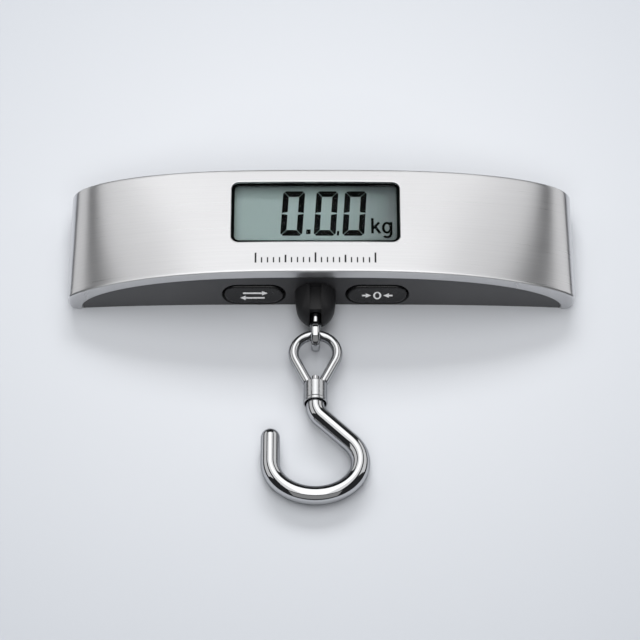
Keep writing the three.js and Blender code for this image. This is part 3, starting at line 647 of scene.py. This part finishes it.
def steel_cover():
    """The folded sheet, as a grid of columns along X and rows over the section. The grid is left
    open round the window, and rings of faces lead from there to the window's lip."""
    margin = 1.1 * MM
    end_columns, window_columns, window_rows = 90, 84, 40
    widest_fold, thickest = 0.28, 0.9
    t_of = lambda x: math.asin(x / HALF_LENGTH) / HALF_PI
    left = t_of(WINDOW_X - WINDOW_HALF_X - margin)
    right = t_of(WINDOW_X + WINDOW_HALF_X + margin)
    feet = [1 + FOOT * k / FOOT_STEPS for k in range(1, FOOT_STEPS + 1)]
    columns = [-t for t in reversed(feet)] + spread(-1, left, end_columns)[:-1]
    first_column = len(columns)
    columns += spread(left, right, window_columns)
    last_column = len(columns) - 1
    columns += spread(right, 1, end_columns)[1:] + feet

    face = spread(1, 0.3, 5)
    fold = spread(0, HALF_PI, 6)
    y_low = WINDOW_Y - WINDOW_HALF_Y - margin
    y_high = WINDOW_Y + WINDOW_HALF_Y + margin
    tops = spread(NEAR_Y + FOLD_RADIUS, y_low, 8)[1:-1]
    first_row = len(face) + len(fold) + len(tops)
    tops += spread(y_low, y_high, window_rows)
    last_row = len(face) + len(fold) + len(tops) - 1
    tops += spread(y_high, FAR_Y - FOLD_RADIUS, 5)[1:-1]

    def section(t):
        """The section's points as (f, y), from the near rim over the top to the far rim, and the
        sheet's thickness as a share of f."""
        middle = (NEAR_Y + FAR_Y) / 2
        width = (outline(t, 0, middle) - outline(t, 1, middle)).length
        radius = min(FOLD_RADIUS, widest_fold * width)
        side = [(f, 0.0) for f in face]
        side += [(radius * (1 - math.sin(a)) / width, radius * (1 - math.cos(a))) for a in fold]
        places = [(f, NEAR_Y + y) for f, y in side]
        places += [(0.0, y) for y in tops]
        places += [(f, FAR_Y - y) for f, y in reversed(side)]
        return places, SHEET / width

    bm = bmesh.new()
    outer, inner = [], []
    for t in columns:
        places, thickness = section(t)
        outer.append([bm.verts.new(outline(t, f, y)) for f, y in places])
        inner.append([])
        for f, y in places:
            depth = max(f, min(thickness, thickest))
            inner_y = max(NEAR_Y + SHEET, min(FAR_Y - SHEET, y))
            inner[-1].append(bm.verts.new(outline(t, depth, inner_y)))
    rows = len(outer[0])
    for i in range(len(columns) - 1):
        for j in range(rows - 1):
            if first_column <= i < last_column and first_row <= j < last_row:
                continue
            for grid in (outer, inner):
                bm.faces.new((grid[i][j], grid[i + 1][j], grid[i + 1][j + 1], grid[i][j + 1]))
    for j in (0, rows - 1):
        bridge(bm, [c[j] for c in outer], [c[j] for c in inner], closed=False)
    for i in (0, len(columns) - 1):
        bridge(bm, outer[i], inner[i], closed=False)

    around = [(i, first_row) for i in range(first_column, last_column)]
    around += [(last_column, j) for j in range(first_row, last_row)]
    around += [(i, last_row) for i in range(last_column, first_column, -1)]
    around += [(first_column, j) for j in range(last_row, first_row, -1)]

    def window_loop(grow, drop):
        """A loop of the window's outline, grown by grow and that far under the top face."""
        corners = [outer[i][j].co for i, j in around]
        return add_loop(bm, [on_top(*window_point(c.x, c.y, grow), drop) for c in corners])

    loops = [[outer[i][j] for i, j in around], window_loop(0.5 * MM, 0)]
    for k in range(5):
        angle = HALF_PI * k / 4
        loops.append(window_loop(
            WINDOW_LIP * (1 - math.sin(angle)), WINDOW_LIP * (1 - math.cos(angle))))
    loops.append(window_loop(0, SHEET))
    loops.append([inner[i][j] for i, j in around])
    for first, second in zip(loops, loops[1:]):
        bridge(bm, first, second)
    loose = [v for v in bm.verts if not v.link_faces]
    bmesh.ops.delete(bm, geom=loose, context="VERTS")
    piece = object_from("steel_cover_sheet", bm)
    round_edges(piece, 0.08 * MM, 2, 60)
    dress(piece, "body", STEEL, ["steel_cover"])


steel_cover()


# ---- housing ----
def stadium(width, height, steps=20):
    """An oval with straight sides, as (a, b) points about its middle."""
    radius = height / 2
    reach = width / 2 - radius
    points = []
    for centre, start in ((reach, -HALF_PI), (-reach, HALF_PI)):
        for k in range(steps + 1):
            angle = start + math.pi * k / steps
            points.append((centre + radius * math.cos(angle), radius * math.sin(angle)))
    return points


def grown_window(grow):
    """The window's half sizes and corner radius, grown all round."""
    return WINDOW_HALF_X + grow, WINDOW_HALF_Y + grow, WINDOW_RADIUS + grow


def rounded_window(half_x, half_y, radius, z):
    """A rounded rectangle about the window's middle, at height z."""
    steps = 8
    ring = []
    for quarter, (sx, sy) in enumerate(((1, 1), (-1, 1), (-1, -1), (1, -1))):
        for k in range(steps + 1):
            angle = HALF_PI * (quarter + k / steps)
            x = WINDOW_X + sx * (half_x - radius) + radius * math.cos(angle)
            y = WINDOW_Y + sy * (half_y - radius) + radius * math.sin(angle)
            ring.append(Vector((x, y, z)))
    return ring


key_low, key_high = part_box("unit_button")
KEY_Z = (key_low.z + key_high.z) / 2
KEY_HEIGHT = key_high.z - key_low.z
KEY_FLANGE = 0.9 * MM
KEY_WIDTH = key_high.x - key_low.x - 2 * KEY_FLANGE
NOSE_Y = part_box("hook_boss")[0].y
BOSS_RADIUS = 5.5 * MM
BOSS_SQUASH = 0.88
HOLE_SQUASH = 0.9
BOSS_SPIGOT = 3.4 * MM
BOSS_SLOT_WIDTH = 3.2 * MM
BOSS_SLOT_DEPTH = 3 * MM
BOSS_GROOVE_LOW = 8 * MM
STUD_RADIUS = 1.5 * MM


def hook_boss():
    length = NEAR_Y - NOSE_Y
    face = NEAR_Y + PANEL_RECESS - GAP
    inside = NEAR_Y + CAVITY_INSET
    edge = 0.1 * MM
    steps = [(0.4, 0.97), (0.65, 0.89), (0.8, 0.74), (0.93, 0.5), (1, 0.24)]
    spigot = [
        Vector((BOSS_SPIGOT, inside)),
        Vector((BOSS_SPIGOT, face)),
        Vector((BOSS_RADIUS - edge, face)),
    ]
    side = [(BOSS_RADIUS, face - edge)]
    side += [(BOSS_RADIUS * wide, NEAR_Y - length * along) for along, wide in steps]
    profile = [(0, inside), *spigot, *softened(side, 2.5 * MM, 6), (0, NOSE_Y)]
    piece = turned("hook_boss_nose", profile, level(MODULE_X, AXIS_Z, BOSS_SQUASH), 72)
    left, right = MODULE_X - BOSS_SLOT_WIDTH / 2, MODULE_X + BOSS_SLOT_WIDTH / 2
    start = NOSE_Y - MM
    slot_end = NOSE_Y + BOSS_SLOT_DEPTH
    combine(piece, block("slot", (left, start, -MM), (right, slot_end, HEIGHT)), "DIFFERENCE")
    groove = block("groove", (left, start, BOSS_GROOVE_LOW), (right, NEAR_Y, HEIGHT))
    combine(piece, groove, "DIFFERENCE")
    bore = cylinder("bore", level(MODULE_X, AXIS_Z), STUD_RADIUS + GAP, start, FAR_Y)
    combine(piece, bore, "DIFFERENCE")
    round_edges(piece, 0.15 * MM, 3, 50)
    dress(piece, "body", SHADED_BOSS_PLASTIC, ["hook_boss"])


def inset_bar(name, end, top, inset, *shape):
    """The bar's form, drawn in by the same inset on its near and far faces."""
    return bar(name, end, top, NEAR_Y + inset, FAR_Y - inset, *shape)


def front_housing():
    piece = inset_bar("housing", HOUSING_INSET, HOUSING_INSET, HOUSING_INSET)
    panels = inset_bar("panels", RIM_END + GAP, RIM_TOP + GAP, PANEL_RECESS, 0, arch)
    combine(piece, panels, "UNION")
    cavity = inset_bar("cavity", CAVITY_END, CAVITY_INSET, CAVITY_INSET, -MM)
    combine(piece, cavity, "DIFFERENCE")
    wall_back = NEAR_Y + CAVITY_INSET + MM
    for node_name in ("unit_button", "tare_button"):
        low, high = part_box(node_name)
        x = (low.x + high.x) / 2
        hole = stadium(KEY_WIDTH + 2 * GAP, KEY_HEIGHT + 2 * GAP)
        rings = [
            [Vector((x + a, y, KEY_Z + b)) for a, b in hole] for y in (NEAR_Y - MM, wall_back)]
        combine(piece, lofted("key_hole", rings), "DIFFERENCE")
    spigot_hole = cylinder(
        "spigot_hole",
        level(MODULE_X, AXIS_Z, HOLE_SQUASH),
        BOSS_SPIGOT + GAP,
        NEAR_Y - MM,
        wall_back,
    )
    combine(piece, spigot_hole, "DIFFERENCE")
    seat = grown_window(LENS_MARGIN + GAP)
    rings = [rounded_window(*seat, z) for z in (8 * MM, HEIGHT)]
    combine(piece, lofted("lens_seat", rings), "DIFFERENCE")
    round_edges(piece, 0.12 * MM, 2, 50)
    dress(piece, "body", SHADED_HOUSING_PLASTIC, ["front_housing"])


front_housing()
hook_boss()


# ---- keys ----
MARK_LIFT = 0.01 * MM
MARK_THICK = 0.03 * MM


def key_cap(node_name, body, name):
    """Makes a key's cap with its flange, and gives the middle of its front face, as (x, y)."""
    low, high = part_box(node_name)
    x = (low.x + high.x) / 2
    edge = 0.9 * MM
    margin = 0.3 * MM
    crowning = 0.7
    flange_lower = 1 * MM
    flange_front = high.y - 0.7 * MM
    profile = [(-KEY_FLANGE, high.y), (-KEY_FLANGE, flange_front), (margin, flange_front)]
    for k in range(9):
        angle = HALF_PI * k / 8
        inset = margin + edge * (1 - math.cos(angle))
        profile.append((inset, low.y + edge * crowning * (1 - math.sin(angle))))
    rings = []
    for inset, y in profile:
        height = KEY_HEIGHT - (2 * inset if inset >= 0 else flange_lower)
        shape = stadium(KEY_WIDTH - 2 * inset, height)
        rings.append([Vector((x + a, y, KEY_Z + b)) for a, b in shape])
    piece = lofted(name, rings)
    dress(piece, body, KEY_PLASTIC, [node_name], 50)
    return x, low.y


def flat_marks(name, shapes, place, thickness, body, look):
    """Thin raised marks: each shape is a list of (a, b) points, and place gives its corners."""
    bm = bmesh.new()
    for shape in shapes:
        lower = add_loop(bm, [place(a, b, 0) for a, b in shape])
        upper = add_loop(bm, [place(a, b, thickness) for a, b in shape])
        bridge(bm, lower, upper)
        bm.faces.new(lower)
        bm.faces.new(upper)
    dress(object_from(name, bm), body, look, (), 30)


def arrow(tip, tail, b, stroke, head):
    """An arrow from tail to tip at height b. stroke is half its shaft's width."""
    way = math.copysign(1, tip - tail)
    neck = tip - way * head
    barb = head * 0.62
    return [
        (tail, b - stroke),
        (neck, b - stroke),
        (neck, b - barb),
        (tip, b),
        (neck, b + barb),
        (neck, b + stroke),
        (tail, b + stroke),
    ]


def oval_line(centre, half_a, half_b, stroke, start=0.0, stop=2 * math.pi, steps=28):
    """An oval line, whole or in part, as one shape for each step."""
    shapes = []
    for k in range(steps):
        angles = [start + (stop - start) * n / steps for n in (k, k + 1)]
        corners = [(a, 0.0) for a in angles] + [(a, stroke) for a in reversed(angles)]
        shapes.append([(
            centre[0] + (half_a - inset) * math.cos(a),
            centre[1] + (half_b - inset) * math.sin(a),
        ) for a, inset in corners])
    return shapes


def stroke_line(start, end, width):
    """A straight line with square ends, as one shape."""
    side = Vector((start[1] - end[1], end[0] - start[0])).normalized() * width / 2
    first, last = Vector(start), Vector(end)
    return [tuple(p) for p in (first - side, last - side, last + side, first + side)]


def keys():
    """The two caps: opposed arrows change the unit, and arrows at a 0 set the scale to zero."""
    stroke = 0.32 * MM
    head = 1.5 * MM
    marks = {
        "unit": [
            arrow(3.7 * MM, -2.9 * MM, 1.0 * MM, stroke, head),
            arrow(-3.7 * MM, 2.9 * MM, -1.0 * MM, stroke, head),
        ],
        "tare": [
            arrow(-1.6 * MM, -4.1 * MM, 0, stroke, head),
            arrow(1.6 * MM, 4.1 * MM, 0, stroke, head),
            *oval_line((0, 0), 1.1 * MM, 1.6 * MM, 1.6 * stroke),
        ],
    }
    for key, shapes in marks.items():
        body = f"{key}_key"
        x, front = key_cap(f"{key}_button", body, f"{key}_key_cap")
        place = lambda a, b, up, x=x, y=front: Vector((x + a, y + MARK_LIFT - up, KEY_Z + b))
        flat_marks(
            f"{key}_key_mark", shapes, place, MARK_THICK, body, LEGEND_INK)


keys()

# ---- display ----
LCD_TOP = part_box("lcd_glass")[1].z
SLANT = math.tan(math.radians(3))


def display_lens():
    low, high = lens_low.z, lens_high.z
    edge = 0.12 * MM
    rings = []
    for inset, z in ((edge, low), (0, low + edge), (0, high - edge), (edge, high)):
        rings.append(rounded_window(
            WINDOW_HALF_X + LENS_MARGIN - inset,
            WINDOW_HALF_Y + LENS_MARGIN - inset,
            WINDOW_RADIUS + LENS_MARGIN,
            z,
        ))
    piece = lofted("display_window", rings)
    dress(piece, "body", LENS, ["display_lens"])


def window_mask():
    """The black border printed on the window. It is wide on the near side, under the cover."""
    low = lens_high.z + MARK_LIFT
    high = low + MARK_THICK
    grow, side, near, far = 0.4 * MM, 0.8 * MM, 1.35 * MM, 0.1 * MM
    wide = grown_window(grow)
    tight = (WINDOW_HALF_X - side, WINDOW_HALF_Y - (near + far) / 2, WINDOW_RADIUS - side)
    shift = Vector((0, (near - far) / 2, 0))
    bm = bmesh.new()
    loops = [add_loop(bm, rounded_window(*wide, z)) for z in (low, high)]
    for z in (high, low):
        loops.append(add_loop(bm, [p + shift for p in rounded_window(*tight, z)]))
    for k in range(4):
        bridge(bm, loops[k], loops[(k + 1) % 4])
    dress(object_from("window_mask", bm), "body", SEGMENT_INK)


def lcd_plates():
    low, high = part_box("lcd_glass")
    step = low.z + 1 * MM
    piece = block("lcd_plates", tuple(low), (high.x, high.y, step))
    wide = grown_window(LENS_MARGIN)
    rings = [rounded_window(*wide, z) for z in (step - 0.2 * MM, high.z)]
    combine(piece, lofted("upper_plate", rings), "UNION")
    round_edges(piece, 0.08 * MM, 2)
    dress(piece, "body", LCD, ["lcd_glass"])


DIGIT_WIDTH = 5.95 * MM
DIGIT_HEIGHT = 15.6 * MM
DIGIT_STROKE = (1.6 * MM, 2.0 * MM)
DIGIT_PLACES = (0, 9.0 * MM, 16.7 * MM)
DIGIT_GAP = 0.08 * MM
DIGITS_LEFT = 9.55 * MM
DIGITS_LOW = 6.6 * MM
FIRST_POINT = (6.95 * MM, 0.6 * MM, 1.2 * MM, 1.6 * MM)
SECOND_POINT = (15.25 * MM, 0.1 * MM, 0.6 * MM, 1.6 * MM)
UNIT_PLACE = (24.5 * MM, 0.85 * MM)


def zero_segments():
    """The six lit segments of a 0, with mitred ends, from its lower left corner."""
    w, h = DIGIT_WIDTH, DIGIT_HEIGHT
    sa, sb = DIGIT_STROKE
    cut_a, cut_b = 0.4 * sa, 0.4 * sb
    top = [
        (cut_a / 2 + DIGIT_GAP, h - cut_b / 2),
        (cut_a + DIGIT_GAP, h),
        (w - cut_a - DIGIT_GAP, h),
        (w - cut_a / 2 - DIGIT_GAP, h - cut_b / 2),
        (w - sa - DIGIT_GAP, h - sb),
        (sa + DIGIT_GAP, h - sb),
    ]
    side = [
        (cut_a / 2, h - cut_b / 2 - DIGIT_GAP),
        (0, h - cut_b - DIGIT_GAP),
        (0, h / 2 + 2 * DIGIT_GAP),
        (sa, h / 2 + 0.25 * sb),
        (sa, h - sb - DIGIT_GAP),
    ]
    shapes = [top, side, [(w - a, b) for a, b in side]]
    return shapes + [[(a, h - b) for a, b in shape] for shape in shapes]


def unit_letters():
    """The letters k and g, from the k's lower left corner."""
    wide = 0.75 * MM
    shapes = [
        stroke_line((wide / 2, 0), (wide / 2, 5.3 * MM), wide),
        stroke_line((0.4 * MM, 1.5 * MM), (2.2 * MM, 3.8 * MM), wide),
        stroke_line((1.05 * MM, 2.4 * MM), (2.45 * MM, 0), wide),
        stroke_line((5.4 * MM, -0.3 * MM), (5.4 * MM, 3.9 * MM), wide),
    ]
    shapes += oval_line((4.3 * MM, 1.95 * MM), 1.4 * MM, 2.05 * MM, wide)
    tail = oval_line(
        (4.3 * MM, -0.3 * MM), 1.4 * MM, 1.4 * MM, wide, -0.8 * math.pi, 0, 16)
    return shapes + tail


def display_marks():
    """The digits with their points, slanted a little, and the unit, which stands upright."""
    first = WINDOW_X - DIGITS_LEFT
    bottom = WINDOW_Y - DIGITS_LOW
    level_z = LCD_TOP + MARK_LIFT
    shapes = []
    for offset in DIGIT_PLACES:
        shapes += [[(offset + a, b) for a, b in shape] for shape in zero_segments()]
    for a, b, wide, tall in (FIRST_POINT, SECOND_POINT):
        shapes.append([(a, b), (a + wide, b), (a + wide, b + tall), (a, b + tall)])
    place = lambda a, b, up: Vector((first + a + SLANT * b, bottom + b, level_z + up))
    flat_marks("display_digits", shapes, place, MARK_THICK, "body", SEGMENT_INK)
    start_a, start_b = first + UNIT_PLACE[0], bottom + UNIT_PLACE[1]
    place = lambda a, b, up: Vector((start_a + a, start_b + b, level_z + up))
    flat_marks("display_unit", unit_letters(), place, MARK_THICK, "body", SEGMENT_INK)


def scale_marks():
    """A printed row of plain graduations under the display."""
    count = 21
    pitch = 1.6 * MM
    bottom = NEAR_Y + 3.0 * MM
    shapes = []
    for k in range(count):
        middle = WINDOW_X + (k - (count - 1) / 2) * pitch
        tall = (3.4 if k % 10 == 0 else 2.6 if k % 5 == 0 else 1.8) * MM
        half = (0.24 if k % 5 == 0 else 0.18) * MM
        shapes.append([
            (middle - half, bottom),
            (middle + half, bottom),
            (middle + half, bottom + tall),
            (middle - half, bottom + tall),
        ])
    place = lambda a, b, up: on_top(a, b, -0.008 * MM - up)
    flat_marks("scale_graduations", shapes, place, 0.02 * MM, "body", SCALE_INK)


display_lens()
window_mask()
lcd_plates()
display_marks()
scale_marks()

# ---- eye bolt ----
bolt_low, bolt_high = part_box("eye_bolt")
RING_WIRE = 1.05 * MM
RING_HALF_WIDTH = 1.15 * MM
RING_FLATNESS = 0.6
RING_RADIUS = (bolt_high.z - bolt_low.z) / 2 - RING_WIRE
RING_Y = bolt_low.y + RING_RADIUS + RING_WIRE


def eye_bolt():
    bm = bmesh.new()
    loops = []
    turns, sides = 96, 40
    flattened = lambda value: math.copysign(abs(value) ** RING_FLATNESS, value)
    for k in range(turns):
        angle = 2 * math.pi * k / turns
        ring = []
        for s in range(sides):
            around = 2 * math.pi * s / sides
            radius = RING_RADIUS + RING_WIRE * flattened(math.cos(around))
            ring.append(Vector((
                MODULE_X + RING_HALF_WIDTH * flattened(math.sin(around)),
                RING_Y + radius * math.cos(angle),
                AXIS_Z + radius * math.sin(angle),
            )))
        loops.append(add_loop(bm, ring))
    for k in range(turns):
        bridge(bm, loops[k], loops[(k + 1) % turns])
    piece = object_from("eye_bolt_ring", bm)
    start = RING_Y + RING_RADIUS
    profile = [(0, start), (STUD_RADIUS, start)]
    thread_from, thread_to, pitch = -0.5 * MM, bolt_high.y - 0.4 * MM, 0.5 * MM
    profile.append((STUD_RADIUS, thread_from))
    steps = int((thread_to - thread_from) / (pitch / 2))
    for k in range(1, steps + 1):
        depth = 0.22 * MM if k % 2 else 0
        profile.append((STUD_RADIUS - depth, thread_from + k * pitch / 2))
    profile += [(STUD_RADIUS - 0.4 * MM, bolt_high.y), (0, bolt_high.y)]
    combine(piece, turned("stud", profile, level(MODULE_X, AXIS_Z), 40), "UNION")
    dress(piece, "body", CHROME, ["eye_bolt"], 50)


eye_bolt()

# ---- hook train: drawn about the hinge, running to -Y, then laid along the swivel's axis ----
down = Vector(joints["hook_swivel"]["axis"]).normalized()
train_y = -down
train_x = Vector((1, 0, 0))
train_z = train_x.cross(train_y)


def on_train(x, y, z=0.0):
    return HINGE + train_x * x + train_y * y + train_z * z


def hook_eye():
    centre = -EYE_RADIUS
    leg_end = -EYE_LENGTH
    apart = math.hypot(EYE_LEG_X, leg_end - centre)
    start = math.atan2(leg_end - centre, EYE_LEG_X) + math.acos(EYE_RADIUS / apart)
    steps = 72
    right_leg = (EYE_LEG_X, leg_end)
    arc = []
    for k in range(steps + 1):
        angle = start + (math.pi - 2 * start) * k / steps
        arc.append((EYE_RADIUS * math.cos(angle), centre + EYE_RADIUS * math.sin(angle)))
    path = []
    for k in range(12):
        t = k / 12
        path.append(tuple(right_leg[n] + (arc[0][n] - right_leg[n]) * t for n in (0, 1)))
    path += arc + [(-x, y) for x, y in reversed(path)]
    points = [on_train(x, y) for x, y in path]
    piece = swept("eye_wire", points, EYE_WIRE, train_z)
    room = cylinder(
        "pin_room", on_train, PIN_RADIUS + GAP, leg_end - MM, leg_end + PIN_OVER + GAP, 40)
    combine(piece, room, "DIFFERENCE")
    half = 6 * MM
    corners = ((-half, -half), (half, -half), (half, half), (-half, half))
    rings = [[on_train(x, y, z) for x, z in corners] for y in (leg_end - 3 * MM, leg_end)]
    combine(piece, lofted("flat_end", rings), "DIFFERENCE")
    round_edges(piece, 0.06 * MM, 2, 50)
    dress(piece, "eye", CHROME, ["hook_eye"], 50)


COLLAR_TOP = -EYE_LENGTH - GAP
COLLAR_LOW = COLLAR_TOP - COLLAR_LENGTH


def collar():
    bore = HOOK_WIRE + GAP
    pin_bore = PIN_RADIUS + GAP
    waist = COLLAR_RADIUS - 0.12 * MM
    bead = 1.0 * MM
    rib = bore - 0.7 * MM
    outside = [
        (pin_bore, COLLAR_TOP),
        (waist, COLLAR_TOP),
        (waist, COLLAR_LOW + bead),
        (COLLAR_RADIUS, COLLAR_LOW + bead * 0.8),
        (COLLAR_RADIUS, COLLAR_LOW),
        (bore, COLLAR_LOW),
        (bore, COLLAR_LOW + RIB_LOW),
        (rib, COLLAR_LOW + RIB_LOW),
        (rib, COLLAR_LOW + RIB_HIGH),
        (bore, COLLAR_LOW + RIB_HIGH),
        (bore, COLLAR_TOP - COLLAR_WEB),
        (pin_bore, COLLAR_TOP - COLLAR_WEB),
        (pin_bore, COLLAR_TOP - 0.1 * MM),
    ]
    piece = turned("swivel_collar_shell", softened(outside, 0.3 * MM, 5), on_train, 80)
    dress(piece, "eye", SATIN_CHROME, ["swivel_collar"], 50)


def hook_path():
    """The middle of the hook's wire: shank, bend, diagonal, bowl and tip."""
    bowl = lambda a: Vector((BOWL_X * math.cos(a), BOWL_CENTRE + BOWL_Y * math.sin(a)))
    leave = bowl(DIAGONAL_FROM)
    along = Vector((
        -BOWL_X * math.sin(DIAGONAL_FROM),
        BOWL_Y * math.cos(DIAGONAL_FROM),
    )).normalized()
    corner_y = (leave + along * (-leave.x / along.x)).y
    turn = math.atan2(-along.x, along.y)
    centre_y = corner_y + BEND_RADIUS * math.tan(turn / 2)
    bend = []
    for k in range(13):
        angle = math.pi + turn * k / 12
        bend.append(Vector((
            BEND_RADIUS + BEND_RADIUS * math.cos(angle),
            centre_y + BEND_RADIUS * math.sin(angle),
        )))
    shank_from = Vector((0, COLLAR_LOW + SHANK_END))
    path = [shank_from.lerp(bend[0], k / 4) for k in range(4)] + bend
    path += [bend[-1].lerp(leave, k / 10) for k in range(1, 10)]
    path += [bowl(DIAGONAL_FROM - (DIAGONAL_FROM + math.pi) * k / 90) for k in range(91)]
    tip = Vector((-BOWL_X, BOWL_CENTRE + TIP_REACH))
    path += [path[-1].lerp(tip, k / 6) for k in range(1, 7)]
    return [on_train(p.x, p.y) for p in path]


def hook():
    wire = swept("hook_wire", hook_path(), HOOK_WIRE, train_z, 48, domed=True)
    neck = HOOK_WIRE - 0.8 * MM
    wide = HOOK_WIRE - 0.1 * MM
    outside = [
        (0, COLLAR_LOW + 1 * MM),
        (neck, COLLAR_LOW + 1 * MM),
        (neck, COLLAR_LOW + HEAD_LOW),
        (wide, COLLAR_LOW + HEAD_LOW),
        (wide, COLLAR_LOW + HEAD_HIGH),
        (PIN_RADIUS, COLLAR_LOW + HEAD_HIGH),
        (PIN_RADIUS, -EYE_LENGTH + PIN_OVER),
        (0, -EYE_LENGTH + PIN_OVER),
    ]
    head = turned("hook_head", softened(outside, 0.15 * MM, 3), on_train, 40)
    combine(wire, head, "UNION")
    dress(wire, "hook", CHROME, ["hook"], 60)


hook_eye()
collar()
hook()


# ---- the CAD's own parts that stay: smooth shading, with fine rounded edges ----
def smooth_by_angle(angle):
    """A node group that shades a mesh smoothly and keeps the edges sharper than angle."""
    group = bpy.data.node_groups.new("smooth_by_angle", "GeometryNodeTree")
    for way in ("INPUT", "OUTPUT"):
        group.interface.new_socket("Geometry", in_out=way, socket_type="NodeSocketGeometry")
    start = group.nodes.new("NodeGroupInput")
    end = group.nodes.new("NodeGroupOutput")
    bend = group.nodes.new("GeometryNodeInputMeshEdgeAngle")
    sharp = group.nodes.new("FunctionNodeCompare")
    sharp.operation = "GREATER_THAN"
    sharp.inputs[1].default_value = angle
    group.links.new(bend.outputs[0], sharp.inputs[0])
    faces = group.nodes.new("GeometryNodeSetShadeSmooth")
    edges = group.nodes.new("GeometryNodeSetShadeSmooth")
    edges.domain = "EDGE"
    edges.inputs["Shade Smooth"].default_value = False
    group.links.new(start.outputs[0], faces.inputs["Geometry"])
    group.links.new(faces.outputs[0], edges.inputs["Geometry"])
    group.links.new(sharp.outputs[0], edges.inputs["Selection"])
    group.links.new(edges.outputs[0], end.inputs[0])
    return group


PLATE_EDGE = 0.2 * MM
SCREW_EDGE = 0.12 * MM


def finish_cad_nodes():
    """Smooth shading for every CAD node, and rounded edges for those seen from below."""
    group = smooth_by_angle(math.radians(32))
    for node_name, node in frame["nodes"].items():
        is_screw = node_name.startswith("back_screw")
        if is_screw or node_name in ("back_cover", "battery_door"):
            edges = node.modifiers.new("edges", "BEVEL")
            edges.width = SCREW_EDGE if is_screw else PLATE_EDGE
            edges.segments = 2
            edges.limit_method = "ANGLE"
            edges.angle_limit = math.radians(45)
        shading = node.modifiers.new("shading", "NODES")
        shading.node_group = group


finish_cad_nodes()


# ---- floor, light and camera ----
def floor():
    """A pale paper floor, with painted shade that darkens it away from the scale."""
    bm = bmesh.new()
    bmesh.ops.create_grid(bm, x_segments=8, y_segments=8, size=4.0)
    piece = object_from("floor", bm)
    made, tree, shader = material("floor_paper", Roughness=0.85, Specular_IOR_Level=0.2)
    # Painted shade: the floor's colour darkens away from the scale, standing in for light falling off towards the
    # edges.
    reach = scaled(tree, away_from(tree, (0, 0, 0)), 0, 1, 60 * MM, 170 * MM)
    colour = tinted(tree, reach, (0.665, 0.685, 0.72), (0.525, 0.55, 0.59), 0, 1)
    feed(tree, shader, Base_Color=colour)
    piece.data.materials.append(made)


def area_light(name, place, aim, size_x, size_y, power, mirrored=True):
    """A rectangular lamp at place, facing aim. Without mirrored, no reflection shows it."""
    light = bpy.data.lights.new(name, "AREA")
    light.shape = "RECTANGLE"
    light.size = size_x
    light.size_y = size_y
    light.energy = power
    lamp = link(name, light)
    lamp.location = place
    lamp.rotation_euler = (Vector(aim) - Vector(place)).to_track_quat("-Z", "Y").to_euler()
    lamp.visible_glossy = mirrored


def studio():
    """A softbox overhead, cards for the metal to reflect, and two lamps that only light."""
    area_light("softbox", (-0.08, 0.33, 1.6), (-0.08, 0.33, 0), 1.86, 2.43, 16)
    area_light("softbox_core", (-0.05, 0.33, 1.58), (-0.05, 0.33, 0), 0.78, 2.43, 4.1)
    area_light("left_card", (-1.2, 0.9, 0.80), (0, 0.9, 0.80), 2.0, 0.95, 4.8)
    area_light("right_card", (1.2, 1.1, 0.90), (0, 1.1, 0.90), 2.0, 1.13, 6.4)
    area_light("front_card", (0, -1.5, 1.0), (0, 0, 0), 2.4, 1.4, 3.4)
    area_light("front_fill", (0, -1.5, 1.2), (0, 0, 0), 1.6, 0.6, 10, False)
    area_light("back_light", (0, 1.7, 0.95), (0, 0, 0), 1.5, 0.45, 32, False)
    world = bpy.data.worlds.new("studio")
    world.use_nodes = True
    world.node_tree.nodes["Background"].inputs["Color"].default_value = (0.03, 0.031, 0.033, 1)
    scene.world = world
    scene.view_settings.view_transform = "Standard"


def camera():
    """Looks down on the display from the hook's side, from a long way off."""
    elevation = math.radians(52)
    distance = 1.0
    aim = Vector((-0.4, -20.96, -2.3)) * MM
    lens = bpy.data.cameras.new("camera")
    lens.sensor_width = 36
    lens.lens = 209
    view = link("camera", lens)
    view.location = aim + Vector((0, -math.cos(elevation), math.sin(elevation))) * distance
    view.rotation_euler = (HALF_PI - elevation, 0, 0)
    scene.camera = view


floor()
studio()
camera()
